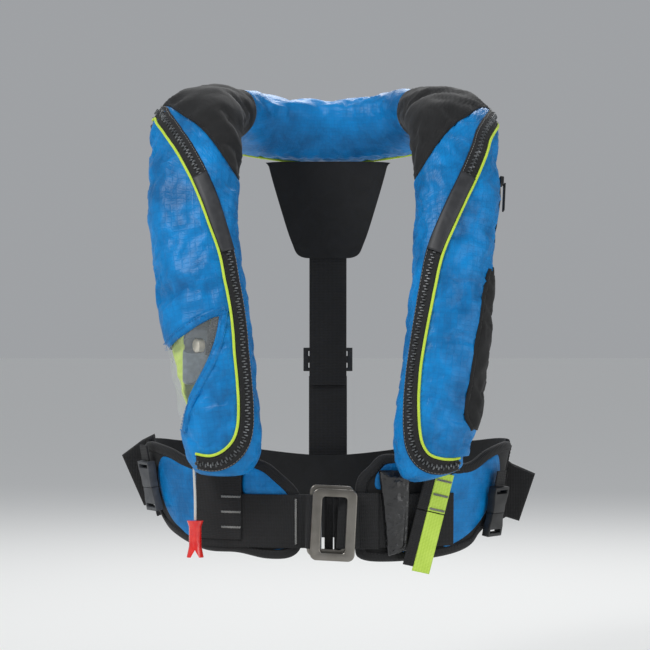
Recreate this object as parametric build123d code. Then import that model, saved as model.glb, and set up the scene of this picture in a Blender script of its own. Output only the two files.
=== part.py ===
"""Inflatable sailing life jacket, closed and worn: a folded stole, its burst zips, gas gear and belt harness.

Frame: millimetres. +X is the wearer's left, +Y points behind the wearer, +Z up. The origin is the centre
of the neck opening at shoulder height, where the jacket hangs on the wearer.
"""
from build123d import *
import math
import os

# ---- driving dimensions -------------------------------------------------------------------------------
WEBBING_WIDTH = 50.0        # belt webbing, which sets the buckle and the scale of everything else
WEBBING_THICK = 2.0
COVER_THICK = 2.5           # two layers of cover fabric with its lining
BLADDER_GAP = 0.6           # between the cover and the folded bladder
TAPE_THICK = 1.2            # zip tape, label tabs and sewn-on panels
PIPING_WIDTH = 2.2
ZIP_HALF_WIDTH = 7.0
CHAIN_HALF_WIDTH = 2.3
PAD_THICK = 6.0             # belt wings
PAD_CLEAR = 1.0             # between the wearer and the pad
BINDING, BINDING_THICK = 8.0, 0.8   # the binding tape round the wings
FIT = 0.35                  # gap between pieces that move on each other

# ---- the wearer's trunk, an ellipse that tapers down to the waist ---------------------------------------
CHEST_Z, WAIST_Z = -230.0, -430.0
CHEST_HALF_WIDTH, WAIST_HALF_WIDTH = 184.8, 143.7
CHEST_HALF_DEPTH, WAIST_HALF_DEPTH = 110.4, 96.4
NECK_Z, NECK_HALF_WIDTH, NECK_HALF_DEPTH = -5.0, 180.0, 92.0

# ---- the stole: (x, y, z, half width, half thickness, outward direction) from the hem to the nape -------
CHEST_OUT, RIB_OUT, COLLAR_BONE_OUT = (0.30, -0.95, 0.03), (0.30, -0.93, 0.20), (0.30, -0.87, 0.38)
SHOULDER_FRONT_OUT, SHOULDER_TOP_OUT = (0.28, -0.70, 0.66), (0.21, -0.38, 0.90)
STOLE_RIGHT = [
    (-98.0, -127.0, -314.0, 25.0, 15.0, CHEST_OUT),
    (-98.0, -127.0, -300.0, 35.0, 22.0, CHEST_OUT),
    (-98.5, -127.0, -277.0, 36.5, 24.0, CHEST_OUT),
    (-102.0, -126.5, -249.0, 37.5, 25.0, CHEST_OUT),
    (-109.5, -124.0, -203.0, 40.5, 25.5, CHEST_OUT),
    (-117.0, -117.5, -158.0, 42.0, 26.0, CHEST_OUT),
    (-123.5, -106.0, -110.0, 41.5, 26.0, RIB_OUT),
    (-127.0, -92.0, -63.0, 43.0, 26.0, COLLAR_BONE_OUT),
    (-126.0, -70.0, -24.0, 44.0, 26.0, SHOULDER_FRONT_OUT),
    (-125.5, -38.0, 9.0, 44.5, 26.0, SHOULDER_TOP_OUT),
    (-119.5, 2.0, 23.0, 42.0, 26.0, (0.16, 0.0, 0.98)),
    (-101.0, 42.0, 24.0, 38.0, 25.0, (0.20, 0.32, 0.93)),
    (-66.0, 76.0, 21.0, 36.0, 23.5, (0.15, 0.62, 0.77)),
]
STOLE_LEFT = [
    (99.0, -127.0, -316.0, 25.0, 15.0, CHEST_OUT),
    (95.5, -127.0, -301.0, 36.0, 22.0, CHEST_OUT),
    (98.0, -127.0, -276.0, 37.0, 24.0, CHEST_OUT),
    (104.0, -126.5, -247.0, 39.5, 25.0, CHEST_OUT),
    (110.0, -124.0, -203.0, 39.5, 25.5, CHEST_OUT),
    (114.0, -118.0, -158.0, 38.5, 26.0, CHEST_OUT),
    (116.5, -108.0, -110.0, 37.0, 26.0, RIB_OUT),
    (121.0, -93.0, -63.0, 39.0, 26.0, COLLAR_BONE_OUT),
    (121.0, -70.0, -24.0, 42.0, 26.0, SHOULDER_FRONT_OUT),
    (120.0, -38.0, 8.0, 43.0, 26.0, SHOULDER_TOP_OUT),
    (115.0, 2.0, 22.0, 43.0, 26.0, (0.17, 0.0, 0.98)),
    (99.0, 42.0, 24.0, 38.0, 25.0, (0.20, 0.32, 0.93)),
    (65.0, 76.0, 21.0, 36.0, 23.5, (0.15, 0.62, 0.77)),
]
NAPE = (0.0, 96.0, 16.0, 35.0, 22.5, (0.0, 0.75, 0.66))
COLLAR_STOP, SHOULDER_STOP, HEM_STOP = 2, 5, 13     # stations counted from the nape, where the covers meet

# ---- lines on the front of the lobes, (x, z) -------------------------------------------------------------
ZIP_RIGHT = [(-120.0, -304.5), (-104.0, -306.0), (-91.0, -300.5), (-80.5, -290.0), (-75.0, -272.0),
             (-75.5, -240.0), (-79.0, -205.0), (-82.5, -170.0), (-88.5, -134.0), (-97.0, -100.0),
             (-109.0, -65.0), (-120.0, -40.0), (-130.0, -22.0)]
ZIP_LEFT = [(119.0, -307.0), (104.0, -309.0), (90.0, -306.0), (80.0, -296.0), (75.0, -272.0),
            (75.5, -240.0), (79.0, -205.0), (85.0, -170.0), (92.0, -134.0), (102.0, -101.0),
            (118.5, -65.0), (130.0, -40.0), (137.0, -22.0)]
LABEL_SPAN = (9, 11)                # the label tab covers the zip between these two points
WINDOW_TOP = [(-95.5, -169.0), (-107.5, -169.5), (-121.5, -176.5), (-135.5, -188.5), (-147.0, -201.5)]
WINDOW_BOTTOM = [(-131.5, -272.0), (-125.0, -250.0), (-116.5, -233.0), (-107.5, -214.5), (-100.0, -193.0)]
SIDE_PANEL = [(147.0, -131.0), (142.5, -170.0), (134.0, -222.5), (126.5, -264.0), (132.5, -276.0)]


def unit(vector):
    """The vector at length one."""
    return Vector(*vector).normalized()


# ---- inflation gear ---------------------------------------------------------------------------------------
LOBE_MIDDLE_Y = -60.0
HEAD_SIZE, HEAD_CENTRE = (27.0, 10.0, 54.0), Vector(-121.0, -130.5, -208.0)
BARREL_RADIUS, BARREL_LENGTH, CAP_LENGTH = 6.5, 15.0, 7.0
CAP_AXIS = unit((-0.86, -0.51, 0.0))
CAP_START = Vector(-116.5, -131.0, -199.0)
CYLINDER_RADIUS, CYLINDER_BASE, CYLINDER_TOP = 16.0, Vector(-116.0, -116.0, -176.0), Vector(-124.5, -93.0, -68.0)
NECK_RADIUS, NECK_LENGTH = 6.0, 10.0
LEVER_PIVOT, LEVER_REACH, LEVER_THICK = Vector(-107.0, -122.0, -243.0), 20.0, 3.0
CORD_EXIT = (-124.8, -118.0, -308.0)
CORD_RADIUS = 1.25
GROMMET_RADIUS, GROMMET_HEIGHT = 4.0, 4.0
TOGGLE_TOP, TOGGLE_LENGTH, TOGGLE_FLARE, TOGGLE_WAIST = (-123.5, -118.0, -361.5), 34.0, 8.0, 5.8
CORD_ROUTE = [(-124.8, -118.0, -284.0), (-124.9, -118.1, -303.0), (-124.3, -118.2, -322.0),
              (-123.4, -118.0, -342.0), (-123.5, -118.0, -361.0)]
ORAL_BASE, ORAL_TOP, ORAL_RADIUS = Vector(113.0, -127.0, -215.0), Vector(116.0, -119.0, -150.0), 6.0
WHISTLE_CENTRE = Vector(97.0, -128.0, -185.0)

# ---- zip sliders ------------------------------------------------------------------------------------------
POCKET_ZIP = [(-23.5, -40), (-13.5, -40), (-3.3, 0), (14, 30), (4, 30), (-13.3, 0)]
POCKET_OUT, POCKET_UP = unit((0.95, 0.30, 0.0)), unit((0.07, 0.503, 0.861))
POCKET_ORIGIN = (140.0, -80.0, -70.0)
POCKET_SLIDER_AT = Vector(163.9, -67.0, -44.0)
BURST_SLIDER_AT, BURST_OUT, BURST_UP = Vector(-168.6, -7.0, 11.5), unit((-0.96, 0.25, -0.1)), unit((0.2, 0.94, 0.27))

# ---- harness ----------------------------------------------------------------------------------------------
PAD_OUT = PAD_CLEAR + PAD_THICK
BELT_IN, BELT_OUT = PAD_OUT + 1.0, PAD_OUT + 1.0 + WEBBING_THICK
ANCHOR_IN, ANCHOR_OUT = BELT_OUT + 0.2, BELT_OUT + 0.2 + WEBBING_THICK
TACK_OUT = ANCHOR_OUT + 0.8
BELT_TOP, BELT_BOTTOM = -338.0, -338.0 - WEBBING_WIDTH
RIGHT_WING = [(-171, -293), (-153, -298), (-136, -306), (-111, -312), (-80, -305), (-60, -309), (-45, -320),
              (-30, -335), (-26, -352), (-26, -383), (-36, -396), (-59, -398), (-87, -393), (-118, -392),
              (-146, -381), (-157, -371), (-166, -350), (-172, -325)]
LEFT_WING = [(174, -293), (156, -299), (136, -311), (108, -311), (75, -303), (52, -302), (40, -312),
             (29, -324), (26.5, -345), (26.5, -385), (32, -398), (60, -401), (107, -398),
             (135, -391), (146, -379), (158, -366), (167, -348), (173, -325)]
BACK_BAND = [(-190, -288), (-110, -300), (0, -312), (110, -300), (190, -288),
             (190, -345), (110, -385), (0, -395), (-110, -385), (-190, -345)]
RIGHT_ANCHOR = [(-122, -286), (-80, -286), (-80, -381), (-122, -381)]
POUCH = [(46.7, -315), (74, -316), (71.5, -391), (55, -395)]
POUCH_THICK = 6.0
BUCKLE_LEAN = 3.0
BUCKLE_SIZE, BUCKLE_SLOT, BUCKLE_THICK = (41.7, 66.8), (23.0, 52.0), 3.0
FRONT_BUCKLE, REAR_BUCKLE = Vector(5.0, -121.0, -365.5), Vector(2.2, -110.0, -362.7)
BAR_OFFSET = 16.3                   # from a buckle's centre to the bar that the webbing goes round
LOOP_IN, LOOP_OUT = 5.2, 6.7        # radii of the webbing sleeve round a bar
HANDLE_HINGE, HANDLE_OFF, HANDLE_LEAN = (100.3, -357.0), 15.0, 13.0
HANDLE_WIDTH, HANDLE_DROP, HANDLE_RISE, LINING_WIDTH = 18.6, 56.5, 39.0, 11.0
RIGHT_SIDE_BUCKLE, LEFT_SIDE_BUCKLE = (-170.5, -335.0), (160.0, -359.0)
SIDE_BUCKLE_OFF = 14.5
RIGHT_STOWED = [(-203, -306), (-181, -291), (-174, -284), (-170, -284), (-160, -356), (-181, -358)]
LEFT_STOWED = [(160, -296), (180, -314), (204, -324), (187, -373), (174, -368), (160, -378), (152, -360)]
STOWED_NEAR, STOWED_FAR = 4.0, 34.0
YOKE = [(-62, -14), (62, -14), (38, -96), (28, -112), (-28, -112), (-38, -96)]
BACK_STRAP_HALF = 19.0
ADJUSTER_Z = -215.0
KNUCKLE_RADIUS = WEBBING_THICK / 2  # the fold that the tow handle turns on
KNUCKLE_GAP = 0.15                  # between that fold and the sewn half above it
PULL_SIZE, PULL_OFF = (1.8, 4.0, 30.0), 3.5     # the pocket zip's pull, and how far its eye is from the slider


# ---- small helpers ---------------------------------------------------------------------------------------
def front_plane(y):
    """A plane across the wearer at depth y, with local x and y along the frame's X and Z, facing forwards."""
    return Plane(origin=(0, y, 0), x_dir=(1, 0, 0), z_dir=(0, -1, 0))


def front_prism(outline, y_back, y_front=-210.0):
    """The outline, a sketch in (x, z), swept forwards from y_back to y_front."""
    return extrude(front_plane(y_back) * outline, y_back - y_front)


def polygon(points):
    """A filled outline through (x, z) points with straight sides."""
    return make_face(Polyline(*points, close=True))


def strip(points, low, high):
    """A ribbon along a smooth line of (x, z) points, from low to high mm to the left of its direction."""
    line = Spline(*points)
    count = 2 * len(points) - 1
    rims = []
    for offset_by in (low, high):
        rim = []
        for step in range(count):
            at, along = line @ (step / (count - 1)), line % (step / (count - 1))
            rim.append((at.X - along.Y * offset_by, at.Y + along.X * offset_by))
        rims.append(rim)
    near, far = rims
    return make_face([Spline(*near), Line(near[-1], far[-1]), Spline(*reversed(far)), Line(far[0], near[0])])


def foremost(shape):
    """The solid of a shape that lies furthest to the front."""
    return shape.solids().sort_by(Axis.Y)[0]


def box_at(size, centre, x_dir=(1, 0, 0), z_dir=(0, 0, 1), fillet_by=0.0):
    """A box with rounded edges, turned so that its x and z axes point along x_dir and z_dir."""
    block = Box(*size)
    if fillet_by:
        block = fillet(block.edges(), fillet_by)
    return Plane(origin=centre, x_dir=x_dir, z_dir=z_dir) * block


# ---- the trunk's layers ------------------------------------------------------------------------------------
def trunk_axes(z):
    """The trunk's half width and half depth at height z."""
    share = (z - CHEST_Z) / (WAIST_Z - CHEST_Z)
    return (CHEST_HALF_WIDTH + share * (WAIST_HALF_WIDTH - CHEST_HALF_WIDTH),
            CHEST_HALF_DEPTH + share * (WAIST_HALF_DEPTH - CHEST_HALF_DEPTH))


def trunk_front(x, z, off):
    """The depth y of the front of a layer that lies off mm outside the trunk."""
    half_width, half_depth = trunk_axes(z)
    return -(half_depth + off) * math.sqrt(1 - (x / (half_width + off)) ** 2)


def trunk_solid(off):
    """The trunk grown by off mm all round."""
    rims = []
    for z in (CHEST_Z, WAIST_Z):
        half_width, half_depth = trunk_axes(z)
        rims.append(Pos(0, 0, z) * Ellipse(half_width + off, half_depth + off))
    return loft(rims, ruled=True)


def trunk_layer(inner, outer):
    """The sleeve between two offsets from the trunk."""
    return trunk_solid(outer) - trunk_solid(inner)


# ---- the stole -----------------------------------------------------------------------------------------------
def stole_stations(side):
    """One side's stations from the nape to the hem, laid out on the wearer's left."""
    if side == "left":
        return [NAPE] + STOLE_LEFT[::-1]
    return [NAPE] + [(-station[0], *station[1:]) for station in STOLE_RIGHT[::-1]]


def section(stations, index, grow):
    """The stole's oval section at a station, grown by some mm."""
    x, y, z, half_width, half_thick, out = stations[index]
    after = stations[min(index + 1, len(stations) - 1)]
    before = stations[index - 1] if index else (-after[0], after[1], after[2])
    along = unit([after[k] - before[k] for k in range(3)])
    plane = Plane(origin=(x, y, z), x_dir=along.cross(unit(out)).normalized(), z_dir=along)
    return plane * Ellipse(half_width + grow, half_thick + grow)


def stole_span(side, first, last, grow):
    """One side of the stole between two stations, grown by some mm."""
    stations = stole_stations(side)
    span = loft([section(stations, index, grow) for index in range(first, last + 1)], ruled=True)
    return span if side == "left" else mirror(span, about=Plane.YZ)


# ---- covers, bladder and what is sewn on them --------------------------------------------------------------
def lobe_cover(side):
    """One lobe's cover with its window, its zip, piping, label tab and panels, and the channel for the cord."""
    lobe = (side, SHOULDER_STOP, HEM_STOP)
    outer, tape_top, trim_top = (stole_span(*lobe, count * TAPE_THICK) for count in range(3))
    cover = outer - stole_span(*lobe, -COVER_THICK)
    tape_layer, trim_layer = tape_top - outer, trim_top - tape_top
    zip_line = ZIP_RIGHT if side == "right" else ZIP_LEFT
    low, high = LABEL_SPAN

    def sewn(layer, outline):
        return foremost(layer & front_prism(outline, LOBE_MIDDLE_Y))

    piping_near, piping_far = sorted(((1 if side == "right" else -1) * reach for reach in
                                      (ZIP_HALF_WIDTH, ZIP_HALF_WIDTH + PIPING_WIDTH)))
    label_half = ZIP_HALF_WIDTH - 0.5
    nodes = {
        f"{side}_burst_zip_tape": sewn(tape_layer, strip(zip_line, -ZIP_HALF_WIDTH, ZIP_HALF_WIDTH)),
        f"{side}_piping": sewn(trim_top - outer, strip(zip_line, piping_near, piping_far)),
        f"{side}_zip_label_tab": sewn(trim_layer, strip(zip_line[low - 1:high + 1], -label_half, label_half)),
        f"{side}_burst_zip_chain": sewn(trim_layer, strip(zip_line[:low - 1], -CHAIN_HALF_WIDTH, CHAIN_HALF_WIDTH)),
    }
    if side == "right":
        hole = front_prism(window_outline(), LOBE_MIDDLE_Y)
        nodes["inflation_window"] = foremost(cover & hole)
        grommet_room = Pos(*CORD_EXIT) * Cylinder(GROMMET_RADIUS, 5 * GROMMET_HEIGHT)
        cover -= grommet_room + hole
        for name in ("right_piping", "right_burst_zip_tape", "right_burst_zip_chain"):
            nodes[name] = (nodes[name] - grommet_room).solids().sort_by(SortBy.VOLUME)[-1]
    else:
        nodes["left_side_panel"] = sewn(tape_layer, polygon(SIDE_PANEL))
        beside = Plane(origin=POCKET_ORIGIN, x_dir=(-0.30, 0.95, 0), z_dir=(0.95, 0.30, 0))
        pocket = tape_layer & extrude(beside * polygon(POCKET_ZIP), 40)
        nodes["pocket_zip_tape"] = pocket.solids().sort_by(SortBy.VOLUME)[-1]
    nodes[f"{side}_lobe_cover"] = cover.solids().sort_by(SortBy.VOLUME)[-1]
    return nodes


def window_outline():
    """The inflation window: two hems and the straight stretches between their ends."""
    top, bottom = Spline(*WINDOW_TOP), Spline(*WINDOW_BOTTOM)
    return make_face([top, Line(WINDOW_TOP[-1], WINDOW_BOTTOM[0]), bottom, Line(WINDOW_BOTTOM[-1], WINDOW_TOP[0])])


def upper_covers():
    """The covers over the shoulders and behind the neck."""
    shells = {(side, stops): stole_span(side, *stops, 0) - stole_span(side, *stops, -COVER_THICK)
              for side in ("right", "left") for stops in ((0, COLLAR_STOP), (COLLAR_STOP, SHOULDER_STOP))}
    nodes = {f"{side}_shoulder_cover": shells[side, (COLLAR_STOP, SHOULDER_STOP)] for side in ("right", "left")}
    nodes["collar_cover"] = shells["right", (0, COLLAR_STOP)] + shells["left", (0, COLLAR_STOP)]
    return nodes


def bladder():
    """The folded bladder, which runs from hem to hem round the neck, with room for what it carries."""
    joins = [0, COLLAR_STOP, SHOULDER_STOP, HEM_STOP]
    folded = Part()
    for side in ("right", "left"):
        for span in zip(joins, joins[1:]):
            folded += stole_span(side, *span, -COVER_THICK - BLADDER_GAP)
    for pocket in inflator_room() + oral_room():
        folded -= pocket
    return {"folded_bladder": folded.solids().sort_by(SortBy.VOLUME)[-1]}


# ---- inflation gear inside the lobes -------------------------------------------------------------------------
def rod(start, end, radius):
    """A round bar between two points."""
    along = end - start
    return extrude(Plane(origin=start, z_dir=along.normalized()) * Circle(radius), along.length)


def inflator_room():
    """The spaces in the bladder that hold the firing head, the gas cylinder, the lever and the cord."""
    head_room = Pos(*HEAD_CENTRE) * Box(*(side + 2.0 for side in HEAD_SIZE))
    front_room = Pos(HEAD_CENTRE.X, HEAD_CENTRE.Y - 12, HEAD_CENTRE.Z) * Box(54.0, 20.0, 62.0)
    barrel_room = rod(CAP_START - CAP_AXIS * (BARREL_LENGTH + 1), CAP_START + CAP_AXIS * 20, BARREL_RADIUS + 1.5)
    lever_room = Pos(LEVER_PIVOT.X - 10, LEVER_PIVOT.Y, LEVER_PIVOT.Z - 8) * Box(38.0, 20.0, 44.0)
    gas = CYLINDER_TOP - CYLINDER_BASE
    gas_room = rod(CYLINDER_BASE - gas.normalized() * 14, CYLINDER_TOP + gas.normalized(), CYLINDER_RADIUS + 1)
    cord_room = rod(Vector(CORD_EXIT[0], CORD_EXIT[1], -330), Vector(CORD_EXIT[0], CORD_EXIT[1], -262), 4.0)
    return [head_room, front_room, barrel_room, lever_room, gas_room, cord_room]


def firing_head():
    """The firing head with its cap, lever, gas cylinder and the inlet through the bladder wall."""
    plate = box_at(HEAD_SIZE, HEAD_CENTRE, fillet_by=4.5)
    socket = CYLINDER_BASE - (CYLINDER_TOP - CYLINDER_BASE).normalized() * (NECK_LENGTH + 0.2)
    gas_axis = (CYLINDER_TOP - CYLINDER_BASE).normalized()
    barrel = rod(CAP_START - CAP_AXIS * BARREL_LENGTH, CAP_START, BARREL_RADIUS)
    clevis = Pos(LEVER_PIVOT.X, HEAD_CENTRE.Y + 2.0, LEVER_PIVOT.Z + 4.0) * Box(9.0, 6.0, 12.0)
    pin = rod(LEVER_PIVOT - Vector(0, 7.0, 0), LEVER_PIVOT + Vector(0, 4.0, 0), 1.5)
    body = plate + barrel + clevis + pin
    cap_room = rod(CAP_START, CAP_START + CAP_AXIS * (CAP_LENGTH + 20), BARREL_RADIUS + 1.0)
    body -= cap_room
    body -= rod(socket, CYLINDER_TOP, NECK_RADIUS + 0.3)
    body -= rod(CYLINDER_BASE - gas_axis * 0.5, CYLINDER_TOP, CYLINDER_RADIUS + 0.5)
    cap = rod(CAP_START + CAP_AXIS * 0.2, CAP_START + CAP_AXIS * (CAP_LENGTH + 0.2), BARREL_RADIUS)
    cap = chamfer(cap.edges().sort_by(Axis.X)[0], 1.0)
    arm = box_at((LEVER_REACH, LEVER_THICK, 5.0), LEVER_PIVOT - Vector(LEVER_REACH / 2, 0, 0))
    eye = rod(LEVER_PIVOT - Vector(0, LEVER_THICK / 2, 0), LEVER_PIVOT + Vector(0, LEVER_THICK / 2, 0), 4.0)
    lever = arm + eye - rod(LEVER_PIVOT - Vector(0, 9, 0), LEVER_PIVOT + Vector(0, 9, 0), 1.55)
    gas = rod(CYLINDER_BASE, CYLINDER_TOP, CYLINDER_RADIUS)
    gas = fillet(gas.edges().filter_by(GeomType.CIRCLE), 6.0)
    neck = rod(CYLINDER_BASE - gas_axis * NECK_LENGTH, CYLINDER_BASE + gas_axis, NECK_RADIUS)
    inlet_start = Vector(HEAD_CENTRE.X, HEAD_CENTRE.Y + HEAD_SIZE[1] / 2, HEAD_CENTRE.Z - 12)
    inlet = rod(inlet_start, inlet_start + Vector(0, 1.0, 0), 9.0)
    return {"firing_head_body": body.solids().sort_by(SortBy.VOLUME)[-1], "firing_head_cap": cap,
            "firing_lever": lever, "gas_cylinder": gas + neck, "bladder_inlet": inlet}


def pull_handle():
    """The cord that fires the gas, the handle on its end and the grommet that it leaves the cover through."""
    runs = [(Vector(*b) - Vector(*a)) for a, b in zip(CORD_ROUTE, CORD_ROUTE[1:])]
    radii = []
    for before, after in zip(runs, runs[1:]):
        half_turn = math.radians(before.get_angle(after)) / 2
        radii.append(0.45 * min(before.length, after.length) / math.tan(half_turn))
    print("pull cord radii", [round(radius) for radius in radii])
    path = FilletPolyline(*CORD_ROUTE, radius=radii)
    cord = sweep(Plane(origin=path @ 0, z_dir=path % 0) * Circle(CORD_RADIUS), path)
    print("pull cord length", round(path.length, 1), "volume ratio",
          round(cord.volume / (math.pi * CORD_RADIUS ** 2 * path.length), 4))
    top = TOGGLE_LENGTH
    profile = make_face([Polyline((TOGGLE_WAIST, top * 0.30), (TOGGLE_FLARE, 0.0), (0.0, 0.0), (0.0, top),
                                  (TOGGLE_FLARE * 0.97, top), (TOGGLE_WAIST, top * 0.84)),
                         Line((TOGGLE_WAIST, top * 0.84), (TOGGLE_WAIST, top * 0.30))])
    toggle = revolve(Plane.XZ * profile, Axis.Z)
    notch = extrude(Plane.XZ * polygon([(-4.5, -1.0), (4.5, -1.0), (0.0, 7.0)]), 12, both=True)
    toggle = Pos(TOGGLE_TOP[0], TOGGLE_TOP[1], TOGGLE_TOP[2] - top) * (toggle - notch)
    toggle -= cord
    grommet = Pos(*CORD_EXIT) * (Cylinder(GROMMET_RADIUS, GROMMET_HEIGHT)
                                 - Cylinder(CORD_RADIUS + 0.6, GROMMET_HEIGHT))
    return {"pull_cord": cord, "pull_toggle": toggle, "cord_grommet": grommet}


def oral_room():
    """The spaces in the bladder that hold the mouth tube and the whistle."""
    along = (ORAL_TOP - ORAL_BASE).normalized()
    return [rod(ORAL_BASE, ORAL_TOP + along * 26, ORAL_RADIUS + 4),
            Pos(*WHISTLE_CENTRE) * Box(17.0, 14.0, 54.0)]


def oral_gear():
    """The mouth tube with its cap, and the whistle, in the wearer's left lobe."""
    along = (ORAL_TOP - ORAL_BASE).normalized()
    tube = rod(ORAL_BASE + along, ORAL_TOP, ORAL_RADIUS) - rod(ORAL_BASE + along, ORAL_TOP, ORAL_RADIUS - 1.6)
    cap = rod(ORAL_TOP - along * 12, ORAL_TOP + along * 3, ORAL_RADIUS + 2)
    cap -= rod(ORAL_TOP - along * 13, ORAL_TOP + along * 0.5, ORAL_RADIUS + FIT)
    barrel = rod(WHISTLE_CENTRE - Vector(0, 0, 22), WHISTLE_CENTRE + Vector(0, 0, 6), 5.0)
    mouth = box_at((9.0, 4.0, 18.0), WHISTLE_CENTRE + Vector(0, 0, 14), fillet_by=1.0)
    bore = rod(WHISTLE_CENTRE - Vector(0, 0, 23), WHISTLE_CENTRE + Vector(0, 0, 3), 3.4)
    return {"oral_tube": tube, "oral_tube_cap": cap, "whistle": barrel + mouth - bore}


# ---- sliders --------------------------------------------------------------------------------------------------
def sliders():
    """The pocket zip's slider and pull, and the burst zip's slider on the shoulder."""
    slider = box_at((4.0, 7.0, 9.0), POCKET_SLIDER_AT, x_dir=POCKET_OUT, z_dir=POCKET_UP, fillet_by=1.0)
    thick, wide, long = PULL_SIZE
    eye = POCKET_SLIDER_AT + (POCKET_OUT - POCKET_UP) * PULL_OFF
    across = POCKET_OUT.cross(POCKET_UP).normalized() * (wide / 2)
    pull = box_at(PULL_SIZE, eye - POCKET_UP * (long / 2), x_dir=POCKET_OUT, z_dir=POCKET_UP, fillet_by=0.7)
    pull += rod(eye - across, eye + across, thick / 2)
    burst = box_at((4.5, 8.0, 12.0), BURST_SLIDER_AT, x_dir=BURST_OUT, z_dir=BURST_UP, fillet_by=1.5)
    return {"pocket_zip_slider": slider, "pocket_zip_pull": pull, "burst_zip_slider": burst}


# ---- the harness ------------------------------------------------------------------------------------------------
def trunk_normal(x, y, z):
    """The outward direction of the trunk's surface at a point on it."""
    half_width, half_depth = trunk_axes(z)
    width_slope = (CHEST_HALF_WIDTH - WAIST_HALF_WIDTH) / (CHEST_Z - WAIST_Z)
    depth_slope = (CHEST_HALF_DEPTH - WAIST_HALF_DEPTH) / (CHEST_Z - WAIST_Z)
    return unit((x / half_width ** 2, y / half_depth ** 2,
                 -x ** 2 * width_slope / half_width ** 3 - y ** 2 * depth_slope / half_depth ** 3))


def strap_plane(x, z, off, lean):
    """A plane on the front of the trunk, off mm out, whose local y leans by some degrees to the wearer's left."""
    y = trunk_front(x, z, off)
    normal = trunk_normal(x, y, z)
    across = Vector(0, 0, 1).cross(normal).normalized()
    up = normal.cross(across)
    angle = math.radians(lean)
    return Plane(origin=(x, y, z), x_dir=across * math.cos(angle) - up * math.sin(angle), z_dir=normal)


def wing(outline, side):
    """One belt wing: the foam pad and the binding tape round its edge."""
    face = make_face([Spline(*outline[1:-1]), Polyline(outline[-2], outline[-1], outline[0], outline[1])])
    pad = trunk_layer(PAD_CLEAR, PAD_OUT) & front_prism(face, 0)
    inner = offset(polygon(outline), -BINDING, kind=Kind.INTERSECTION)
    binding = trunk_layer(PAD_OUT, PAD_OUT + BINDING_THICK) & front_prism(face - inner, -20.0)
    return {f"{side}_belt_wing": pad.solids().sort_by(SortBy.VOLUME)[-1],
            f"{side}_wing_binding": binding.solids().sort_by(SortBy.VOLUME)[-1]}


def webbing_sleeve(buckle, bar_side):
    """The sleeve of webbing round a buckle's bar, as (outside, inside) bars along the leaning axis."""
    plane = buckle_plane(buckle)
    centre = plane.origin + plane.x_dir * (bar_side * BAR_OFFSET)
    up = plane.y_dir
    half = WEBBING_WIDTH / 2 - 2.5
    return (rod(centre - up * half, centre + up * half, LOOP_OUT),
            rod(centre - up * (half + 6), centre + up * (half + 6), LOOP_IN))


def belt_webbings():
    """The front belt's webbing on both sides, the upright anchor webbing and the bar tacks."""
    belt, anchor = trunk_layer(BELT_IN, BELT_OUT), trunk_layer(ANCHOR_IN, ANCHOR_OUT)
    tack = trunk_layer(ANCHOR_OUT, TACK_OUT)
    belt_tack = trunk_layer(BELT_OUT, BELT_OUT + 0.8)

    def patch(layer, x0, x1, z0=BELT_BOTTOM, z1=BELT_TOP):
        return layer & front_prism(polygon([(x0, z0), (x1, z0), (x1, z1), (x0, z1)]), -30)

    sleeve, hollow = webbing_sleeve(REAR_BUCKLE, -1)
    right = patch(belt, -120, -18) + sleeve - hollow
    sleeve, hollow = webbing_sleeve(FRONT_BUCKLE, 1)
    tail = [(35.0, -105.0), (35.0, -111.5), (23.5, -117.5), (20.5, -117.5), (20.5, -114.6), (24.0, -113.5)]
    tail_block = extrude(Plane.XY.offset(BELT_BOTTOM) * make_face(Polyline(*tail, close=True)), WEBBING_WIDTH)
    tail_block -= trunk_solid(PAD_OUT + BINDING_THICK + 0.2)
    left = patch(belt, 31, 118) + tail_block + sleeve - hollow
    tacks = [patch(tack, -100, -82.5, z - 0.9, z + 0.9) for z in (-340.6, -355.0, -369.4)]
    tacks += [patch(belt_tack, x - 0.9, x + 0.9, -384, -342.4) for x in (-30.2, 37.0)]
    return {"right_belt_webbing": right.solids().sort_by(SortBy.VOLUME)[-1],
            "left_belt_webbing": left.solids().sort_by(SortBy.VOLUME)[-1],
            "right_anchor_webbing": (anchor & front_prism(polygon(RIGHT_ANCHOR), -30)),
            "belt_tacks": tacks}


def buckle_plane(centre):
    """The plane of a belt buckle's frame, facing forwards and leaning with the belt."""
    lean = math.radians(BUCKLE_LEAN)
    return Plane(origin=centre, x_dir=(math.cos(lean), 0, -math.sin(lean)), z_dir=(0, -1, 0))


def belt_buckle():
    """The two flat steel frames that hook into each other."""
    nodes = {}
    for name, centre in (("buckle_front_frame", FRONT_BUCKLE), ("buckle_rear_frame", REAR_BUCKLE)):
        outline = RectangleRounded(*BUCKLE_SIZE, 6.5) - RectangleRounded(*BUCKLE_SLOT, 3.0)
        plate = extrude(outline, BUCKLE_THICK / 2, both=True)
        rims = plate.edges().filter_by(Plane.XY)
        plate = chamfer(rims, 0.7)
        nodes[name] = buckle_plane(centre) * plate
    return nodes


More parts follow.
